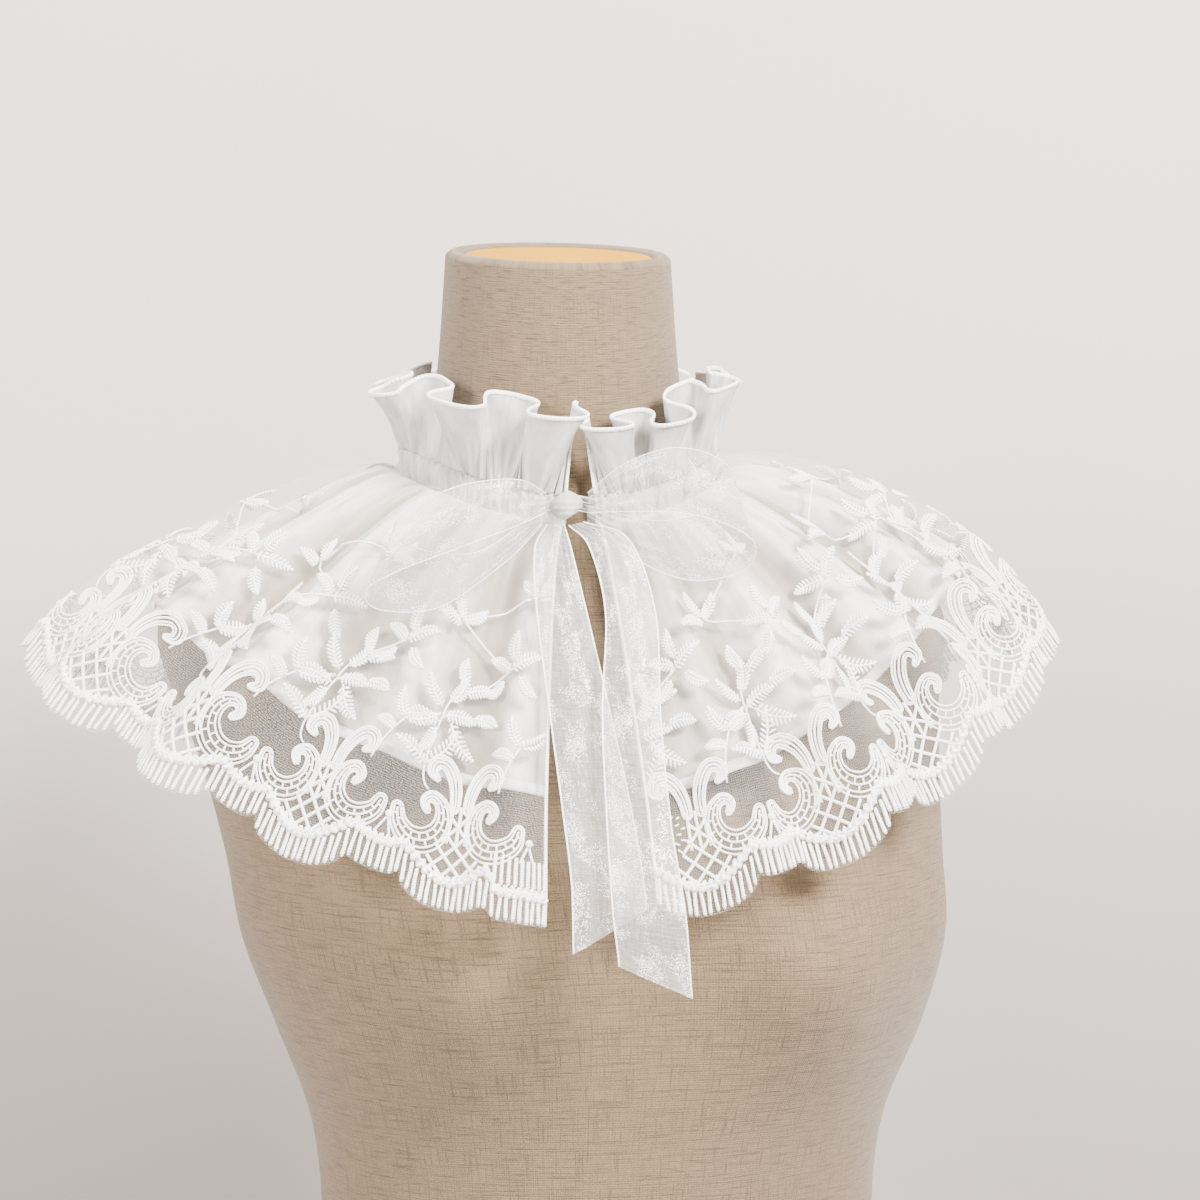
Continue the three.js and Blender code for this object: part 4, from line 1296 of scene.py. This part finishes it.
        def bend(share: Array) -> Array:
            """How far a leaf's middle bends to its left: a tenth of its length at most."""
            return 0.10 * length * np.sin(np.pi * share) * np.sign(np.cos(3 * turn))

        share = (np.arange(self.stitches) + 0.7)[None, :, None] / (self.stitches + 0.3)
        reach = 0.52 * width * np.sin(np.pi * (0.2 + 0.79 * share)) ** 0.8
        out = np.linspace(0.1, 1, 3)[None, None]
        for side in (1, -1):
            lay(length * share + reach * out * 0.55, bend(share) + side * reach * out, self.stitch_wide, 0.75)
        share = np.linspace(0, 1, 6)[None, None]
        lay(length * share, bend(share), 0.8, 0.9)
        return Shape.joined(shapes).piece(name)

    def stem_lines(self) -> Piece:
        """The stems that join the leaves, each a smooth bend through three places."""
        share = np.linspace(0, 1, 12)[None]
        weights = [(1 - share) * (1 - 2 * share), 4 * share * (1 - share), share * (2 * share - 1)]
        across, up = (
            sum(self.stems[:, 2 * k + offset][:, None] * weights[k] for k in range(3)) for offset in (0, 1)
        )
        start = self.stems[:, 1]
        low, high = start < 70, start > 85
        shapes = []
        for rows, repeat_quarters, every in ((low, 0.0, 1), (~low & ~high, 0.5, 1), (high, 0.5, 2)):
            u, t = self.spread(across[rows], up[rows], repeat_quarters * self.shape.pitch / 4, every)
            shapes.append(self.stitched(u, t, *self.stem_size))
        return Shape.joined(shapes).piece("stems")

    def front_edges(self) -> Piece:
        """The narrow rolled hems down the two front edges of the net."""
        u = np.array([[self.inset], [self.shape.hem - self.inset]])
        high, low = self.shape.top(u) - 2, -self.shape.edge(u)
        t = high + (low - high) * np.linspace(0, 1, 130)[None]
        return self.stitched(u + 0 * t, t, 1.1, 0.8).piece("front_hems")


# ------------------------------------------------------------------ lining, casing and frill


@dataclass
class Lining:
    """The plain lawn under the lace, gathered with it and ending in a narrow rolled hem."""

    shape: CapeShape
    columns: int = 541
    share: float = 0.70
    length: float = 165.0
    hem_height: float = 4.5
    follow: float = 0.62
    crease: float = 0.9
    wall: float = 0.25
    hem_wall: float = 0.3
    # share of the hem's height up from the lining's end, and how far it stands off, at each row of the hem
    hem: Array = table((1.0, 0.05), (0.93, 0.42), (0.5, 0.5), (0.1, 0.45), (0.0, 0.05))

    def laid(self, share: Array) -> tuple[Array, Array, Array]:
        """The angle, the folds' lift and the gathers of the lace over each column, at some shares."""
        shape = self.shape
        pick = np.linspace(0, shape.columns, self.columns).astype(int)
        angle = shape.opened(shape.hem_angle[pick][None], share)
        along = np.linspace(0, 1, self.columns)[None]
        gathers = shape.gathers(along * shape.repeats * shape.gathers_each, share)
        return angle, shape.fold_lift(angle, share), gathers

    def cloth(self, share: Array, lift: Array | float) -> Shape:
        """The lining's surface: it follows part of the lace's folds and lies a little under it."""
        angle, folds, gathers = self.laid(share)
        drop = 1.5 + 2.4 * smooth(share / 0.14)
        points = self.shape.lifted(angle, share, self.follow * folds - drop + self.crease * gathers + lift)
        along = np.linspace(0, self.shape.hem, self.columns)[None]
        return surface(points, np.stack(np.broadcast_arrays(along, share * self.length), axis=-1))

    def valley_shade_share(self, share: Array) -> Array:
        """The share of painted shade on the lining, with the linen seen through the lawn: most in the valleys
        between the folds, less on a gather.
        """
        _, folds, gathers = self.laid(share)
        valley_shade = 1 - smooth(folds / (15 * self.shape.fold_rise(share)))
        return valley_shade * (1 - 0.45 * smooth(gathers / 3.5)) * smooth(share / 0.05)

    def build(self) -> None:
        """Makes the lining and its hem."""
        share = np.linspace(0.004, self.share, 60)[:, None]
        lawn = self.cloth(share, 0.0).piece("cape_lawn")
        # the lining's share of painted shade in the fold valleys, which its material reads
        layer = lawn.data.attributes.new("valley_shade_and_linen", "FLOAT", "POINT")
        layer.data.foreach_set("value", self.valley_shade_share(share).ravel().astype(np.float32))
        dress(lawn, Finish.LINING, ("cape_lining",))
        thicken(lawn, self.wall)
        rows = self.share - self.hem_height / self.length * self.hem[:, :1]
        hem = dress(self.cloth(rows, self.hem[:, 1:]).piece("lawn_hem"), Finish.LINING)
        thicken(hem, self.hem_wall)


@dataclass
class Neckwear:
    """The gathered casing and the frill that stands on it."""

    shape: CapeShape
    columns: tuple[int, int] = (1200, 1080)
    casing_low: float = 1.3
    casing_height: float = 7.4
    casing_length: float = 520.0
    casing_wall: float = 0.4
    frill_low: float = 9.4
    frill_height: float = 36.0
    frill_length: float = 860.0
    frill_wall: float = 0.5
    # the frill's two ends, counted in flutes
    ends: tuple[float, float] = (-0.4, 12.4)
    # angle of each outermost crest, how far it reaches and how far its top rises
    flutes: Array = table(
        (7.5, 0.85, -3),
        (30, 1, -4),
        (54, 0.9, 3),
        (84, 0.5, -2),
        (112, 0.9, -3),
        (140, 1, -2),
        (168, 1, -2),
        (196, 1, -2),
        (224, 1, -2),
        (252, 0.9, -3),
        (282, 1.15, -5),
        (319, 1, 0),
        (352.5, 1.05, 2),
    )

    def seam(self, angle: Array, lift: Array, out: Array) -> Array:
        """Points above the neck seam by lift and out from it by out."""
        away = np.radians(angle)
        step = np.stack([np.sin(away) * out, -np.cos(away) * out, lift + 0 * away], axis=-1)
        return self.shape.ground(angle, np.zeros_like(angle)) + step

    def frill(self, place: Array, share: Array) -> Array:
        """Points of the frill.

        It stands out from the seam by a cosine of the flutes that grows towards the top, swings sideways by a
        sine at twice their pace, so that the crests loop over, and leans outward. Its small pleats are sines
        that fade upwards, and its two ends part at the seam.

        Args:
            place: which flute, counted from the right front edge.
            share: 0 at the seam and 1 at the top edge.

        Returns:
            The points.
        """
        last = len(self.flutes) - 1
        index = np.clip(place, 0, last)
        row = route_value(self.flutes, index)
        angle = row[..., 0] + (place - index) * 360 / len(self.flutes)
        turn = 2 * np.pi * place
        opened = share**0.8
        out = -0.4 + 5 * share**1.25 + 9.5 * row[..., 1] * opened * np.cos(turn)
        hang = 0.17 * 360 / len(self.flutes) * np.sin(2 * turn) * opened
        parted = 8.6 * (1 - share) * (smooth(1 - place) - smooth(place - last + 1))
        low = 0.8 * np.sin(place * 58 + 2 * np.sin(place * 7))
        low = low + 0.6 * np.sin(place * 91 + 3 * np.sin(place * 5))
        high = 0.55 * np.sin(place * 23 + 4 * share) + 0.4 * np.sin(place * 37 - 6 * share)
        small = (1 - smooth(share / 0.65)) * low + high * share
        tilt = 3.8 * row[..., 1] * share**1.3 * np.cos(turn)
        up = self.frill_height * np.cos(0.42 * share) * share + row[..., 2] * share - tilt
        return self.seam(angle + hang + parted, self.frill_low + up, out + small)

    def build(self) -> None:
        """Makes the casing, the frill and the frill's bound edges."""
        self.casing()
        place = np.linspace(*self.ends, self.columns[1])[None]
        share = np.linspace(0, 1, 26)[:, None]
        points = self.frill(place + 0 * share, share + 0 * place)[::-1]
        length = np.linspace(0, self.frill_length, self.columns[1])[None]
        flat = np.stack(np.broadcast_arrays(length, share * self.frill_height), axis=-1)[::-1]
        frill = dress(surface(points, flat).piece("frill_cloth"), Finish.FRILL, ("collar_frill",))
        thicken(frill, self.frill_wall)
        edge = dress(self.bound_edge(points[0], points[1]), Finish.EDGE)

    def casing(self) -> None:
        """The casing: uneven pleats over a band that bulges a little between its two seams."""
        angle = np.linspace(5, 355, self.columns[0])[None]
        along = np.linspace(0, self.casing_length, self.columns[0])[None]
        share = np.linspace(-0.5, 1.14, 14)[:, None]
        pleat = 0.85 * np.cos(along * 1.1 + 1.5 * np.sin(along * 0.21) + 0.8 * share)
        pleat = pleat * (0.75 + 0.35 * np.sin(along * 0.37))
        pleat = pleat + 0.5 * np.sin(along * 1.9 + 2 * np.sin(along * 0.5) - share)
        bulge = 0.5 * np.sin(np.pi * np.clip(share, 0, 1)) - 0.5 * (share > 1) - 0.3 * (share < 0)
        out = -0.4 + pleat * (0.65 + 0.5 * np.cos(2 * np.pi * share)) + bulge
        points = self.seam(angle + 0 * share, self.casing_low + self.casing_height * share, out)[::-1]
        flat = np.stack(np.broadcast_arrays(along, share * self.casing_height), axis=-1)[::-1]
        casing = dress(surface(points, flat).piece("neck_band"), Finish.FRILL, ("neck_casing",))
        thicken(casing, self.casing_wall)

    def bound_edge(self, top: Array, below: Array) -> Piece:
        """An overlocked cord along the frill's top and down its two ends."""
        up = unit(top - below)
        around = unit(np.gradient(top, axis=0))
        cord = cords((top - 0.4 * up)[None], np.cross(around, up)[None], 2.0, 1.3, sides=8)
        share = np.linspace(0.02, 1, 24)
        sides = np.stack([self.frill(np.full(share.size, end), share) for end in self.ends])
        inner = np.array(self.ends) + [0.1, -0.1]
        out = unit(self.frill(inner, np.ones(2)) * [1, 1, 0])[:, None]
        down = cords(sides, np.broadcast_to(out, sides.shape), 1.3, 1.1, sides=6)
        return Shape.joined([cord, down]).piece("frill_edge")


# ------------------------------------------------------------------ the ribbon


@dataclass
class Ribbon:
    """One stretch of organza ribbon along a route from the middle of the knot."""

    name: str
    node: str
    route: Array
    flat: tuple[float, float]
    cut: float = 0.0
    across: int = 25
    steps: int = 120
    edge: float = 0.45
    tail_edge: float = 0.75

    def strip(self, side: Array, place: Array) -> Array:
        """Points of the ribbon.

        A point is its place on the route, moved across by side times the width along the lean, bowed forward
        in the middle with the square of side, and crinkled by sines, most of all where the ribbon is pinched.

        Args:
            side: from -0.5 to 0.5 across the ribbon.
            place: how far along the route, counted in its rows.

        Returns:
            The points.
        """
        row = route_value(self.route, place)
        wide, lean = row[..., 3], np.radians(row[..., 4])
        slant = self.cut * side * 2 * smooth(place - len(self.route) + 2)
        pinch = np.clip(1 - wide / (RIBBON_WIDE - 2), 0, 1)
        crown = -1.2 * (1 - 4 * side**2) * np.minimum(1, wide / RIBBON_WIDE)
        pinched = 0.9 * np.sin(side * 27 + 2 * np.sin(place))
        crinkle = pinch * pinched + (1 - pinch) * 0.25 * np.sin(side * 9 + place * 2.2)
        x, z = side * wide * np.sin(lean), side * wide * np.cos(lean) - slant / 2
        return np.array(KNOT_PLACE) + row[..., :3] + np.stack([x, crown + crinkle, z], axis=-1)

    def build(self) -> None:
        """Makes the ribbon and the bright woven edges on both of its sides."""
        side = np.linspace(-0.5, 0.5, self.across)[:, None]
        place = np.linspace(0, len(self.route) - 1, self.steps)[None]
        points = self.strip(side + 0 * place, place + 0 * side)
        gone = path_length(points[self.across // 2])
        flat = np.stack(np.broadcast_arrays((side + 0.5) * RIBBON_WIDE, gone[None]), axis=-1)
        piece = dress(surface(points, flat).piece(self.name), Finish.ORGANZA, (self.node,))
        edges = np.stack([self.strip(np.full(self.steps, s), place[0]) for s in (-0.495, 0.495)])
        wide = self.tail_edge if self.cut else self.edge
        selvedge = cords(edges, grid_normals(points)[[0, -1]], wide, self.edge, sides=6)
        selvedge = dress(selvedge.piece(self.name + "_selvedge"), Finish.EDGE)


@dataclass
class Bow:
    """The organza bow: a small soft knot, two loops, two tails and two leads to the casing.

    Each stretch of ribbon has a route from the knot: a row is x, y, z, width and lean in degrees.
    """

    knot_size: tuple[float, float, float] = (14.6, 11.0, 11.6)
    loop_left: Array = table(
        (-8.5, -3, 1, 8, 4),
        (-22, -14, 1, 19, 6),
        (-45, -23, -4, 26, 10),
        (-66, -26, -12, 28, 18),
        (-76, -23, -20, 28, 24),
        (-69, -17, -28, 28, 30),
        (-46, -16, -29, 26, 34),
        (-24, -10, -16, 18, 26),
        (-8.5, 1, -4, 7, 10),
    )
    loop_right: Array = table(
        (8.5, -3, 1, 8, 0),
        (22, -13, 7, 19, -4),
        (41, -20, 10, 26, -8),
        (59, -20, 6, 28, -12),
        (70, -14, -3, 28, -18),
        (64, -8, -14, 28, -24),
        (43, -8, -18, 26, -24),
        (23, -6, -12, 18, -16),
        (8.6, 1.2, -3.4, 6.6, -6),
    )
    tail_left: Array = table(
        (-4.4, -2, -7.4, 7, 90),
        (-6, -7, -18, 15, 92),
        (-4, -17, -42, 20, 92),
        (0.5, -35, -80, 24, 92),
        (4.5, -52, -116, 27, 92),
        (6.5, -65, -142, 28, 93),
        (6.5, -70, -160, 28, 94),
    )
    tail_right: Array = table(
        (3.9, -2.2, -7.3, 6.2, 78),
        (16, -9.5, -15, 16, 78),
        (22.5, -22, -42, 20, 90),
        (19.5, -42, -80, 23, 93),
        (19, -61, -118, 25, 94),
        (20.5, -75, -150, 28, 94),
        (22.5, -79, -178, 28, 94),
    )
    lead_left: Array = table((-4, 6.6, 1, 6, 0), (-6.5, 10.3, 0.5, 6, 4), (-9, 13.7, 0, 6, 6))
    lead_right: Array = table((4, 6.6, 1, 6, 0), (9.5, 9.2, 0, 6, -4), (14.5, 11.4, -1, 6, -6))

    def build(self) -> None:
        """Makes every stretch of ribbon, with its flat size and its cut end's slant, then the knot."""
        Ribbon("loop_left", "bow_loop_left", self.loop_left, (0.152, 0.028)).build()
        Ribbon("loop_right", "bow_loop_right", self.loop_right, (0.136, 0.028)).build()
        Ribbon("tail_left", "ribbon_tail_left", self.tail_left, (0.168, 0.028), -18.0).build()
        Ribbon("tail_right", "ribbon_tail_right", self.tail_right, (0.192, 0.028), 11.0).build()
        Ribbon("lead_left", "ribbon_lead_left", self.lead_left, (0.0105, 0.01)).build()
        Ribbon("lead_right", "ribbon_lead_right", self.lead_right, (0.016, 0.012)).build()
        self.knot()

    def knot(self) -> None:
        """The knot: a rounded lump with soft pleats that run over it and pinch at its sides."""
        rows, columns = 26, 96
        wide, deep, tall = self.knot_size
        up = -np.cos(np.pi * (np.arange(rows) + 0.5) / rows)[:, None]
        turn = np.linspace(np.pi, 3 * np.pi, columns, endpoint=False)[None]
        swell = np.sqrt(1 - up**2) ** 0.8
        crease = np.abs(np.sin(7 * up + 0.9 * np.sin(turn))) ** 0.7 + 0.3 * np.sin(19 * up + 2 * turn)
        pleat = 0.86 + 0.12 * crease + 0.06 * np.cos(2 * turn)
        x = KNOT_PLACE[0] + 0.5 * wide * swell * (0.86 + 0.1 * crease) * np.sin(turn)
        y = KNOT_PLACE[1] - 0.5 * deep * swell * pleat * np.cos(turn)
        z = KNOT_PLACE[2] + 0.5 * tall * up * (1 - 0.25 * np.sin(turn) ** 2) + 0.8 * np.sin(turn)
        knot = turned_body(np.stack([x, y, z], axis=-1), 44.0, 14 * up).piece("knot")
        dress(knot, Finish.FRILL, ("bow_knot",))


# ------------------------------------------------------------------ the room, the camera and the light


@dataclass
class Studio:
    """A pale wall and table top close behind the form, and broad soft light from the upper right."""

    wall_behind: float = 340.0
    reach: float = 3000.0
    wall_height: float = 2600.0
    sky: tuple[float, float, float, float] = (0.93, 0.94, 1.0, 1.0)
    sky_strength: float = 0.42
    view_turn: float = -9.0
    view_rise: float = 3.0
    view_distance: float = 1.25
    view_aim: tuple[float, float, float] = (0.018, 0, 0.445)

    def area_light(
        self, name: str, place: tuple, aim: tuple, size: float, power: float, colour: Colour
    ) -> None:
        """Adds a square soft light that faces its aim."""
        data = bpy.data.lights.new(name, "AREA")
        data.shape = "SQUARE"
        data.size = size
        data.energy = power
        data.color = colour
        light = bpy.data.objects.new(name, data)
        light.location = place
        light.rotation_euler = (Vector(aim) - Vector(place)).to_track_quat("-Z", "Y").to_euler()
        bpy.context.scene.collection.objects.link(light)

    def build(self) -> None:
        """Makes the room, lights it and sets the camera."""
        side = np.array([-self.reach, self.reach])[None, :, None]
        back, front = (self.wall_behind, 0.0), (-self.reach, 0.0)
        top = (self.wall_behind, self.wall_height)
        for name, far, near in (("wall", top, back), ("table_top", back, front)):
            ends = np.array([far, near])[:, None, :]
            grid = np.concatenate([side + 0 * ends[..., :1], ends + 0 * side], axis=-1)
            piece = surface(grid, grid[..., :2]).piece(name)
            piece.data.materials.append(Finish.ROOM.material())
        world = bpy.data.worlds.new("room")
        world.use_nodes = True
        world.node_tree.nodes["Background"].inputs[0].default_value = self.sky
        world.node_tree.nodes["Background"].inputs[1].default_value = self.sky_strength
        bpy.context.scene.world = world
        self.area_light("key", (1.2, -1.6, 1.8), (0, 0, 0.45), 0.7, 345, (1.0, 0.98, 0.95))
        self.area_light("fill", (-1.7, -1.5, 1.1), (0, 0, 0.4), 0.8, 150, (1.0, 0.98, 0.955))
        self.area_light("top", (0.1, -0.3, 2.0), (0, 0, 0.5), 1.2, 60, (1.0, 0.985, 0.96))
        self.camera()

    def camera(self) -> None:
        """The front view, a little from the wearer's right."""
        turn, rise = math.radians(self.view_turn), math.radians(self.view_rise)
        back = Vector((math.sin(turn) * math.cos(rise), -math.cos(turn) * math.cos(rise), math.sin(rise)))
        data = bpy.data.cameras.new("front")
        data.lens = 88
        data.sensor_width = 36
        data.dof.use_dof = False
        camera = bpy.data.objects.new("front", data)
        camera.location = Vector(self.view_aim) + back * self.view_distance
        camera.rotation_euler = back.to_track_quat("Z", "Y").to_euler()
        bpy.context.scene.collection.objects.link(camera)
        bpy.context.scene.camera = camera


def main() -> None:
    """Builds every piece, the room, its lights and the camera."""
    logging.basicConfig(level=logging.INFO, format="%(name)s: %(message)s")
    DressForm().build()
    shape = CapeShape()
    Lining(shape).build()
    LaceCape(shape).build()
    Neckwear(shape).build()
    Bow().build()
    Studio().build()


if __name__ == "__main__":
    main()
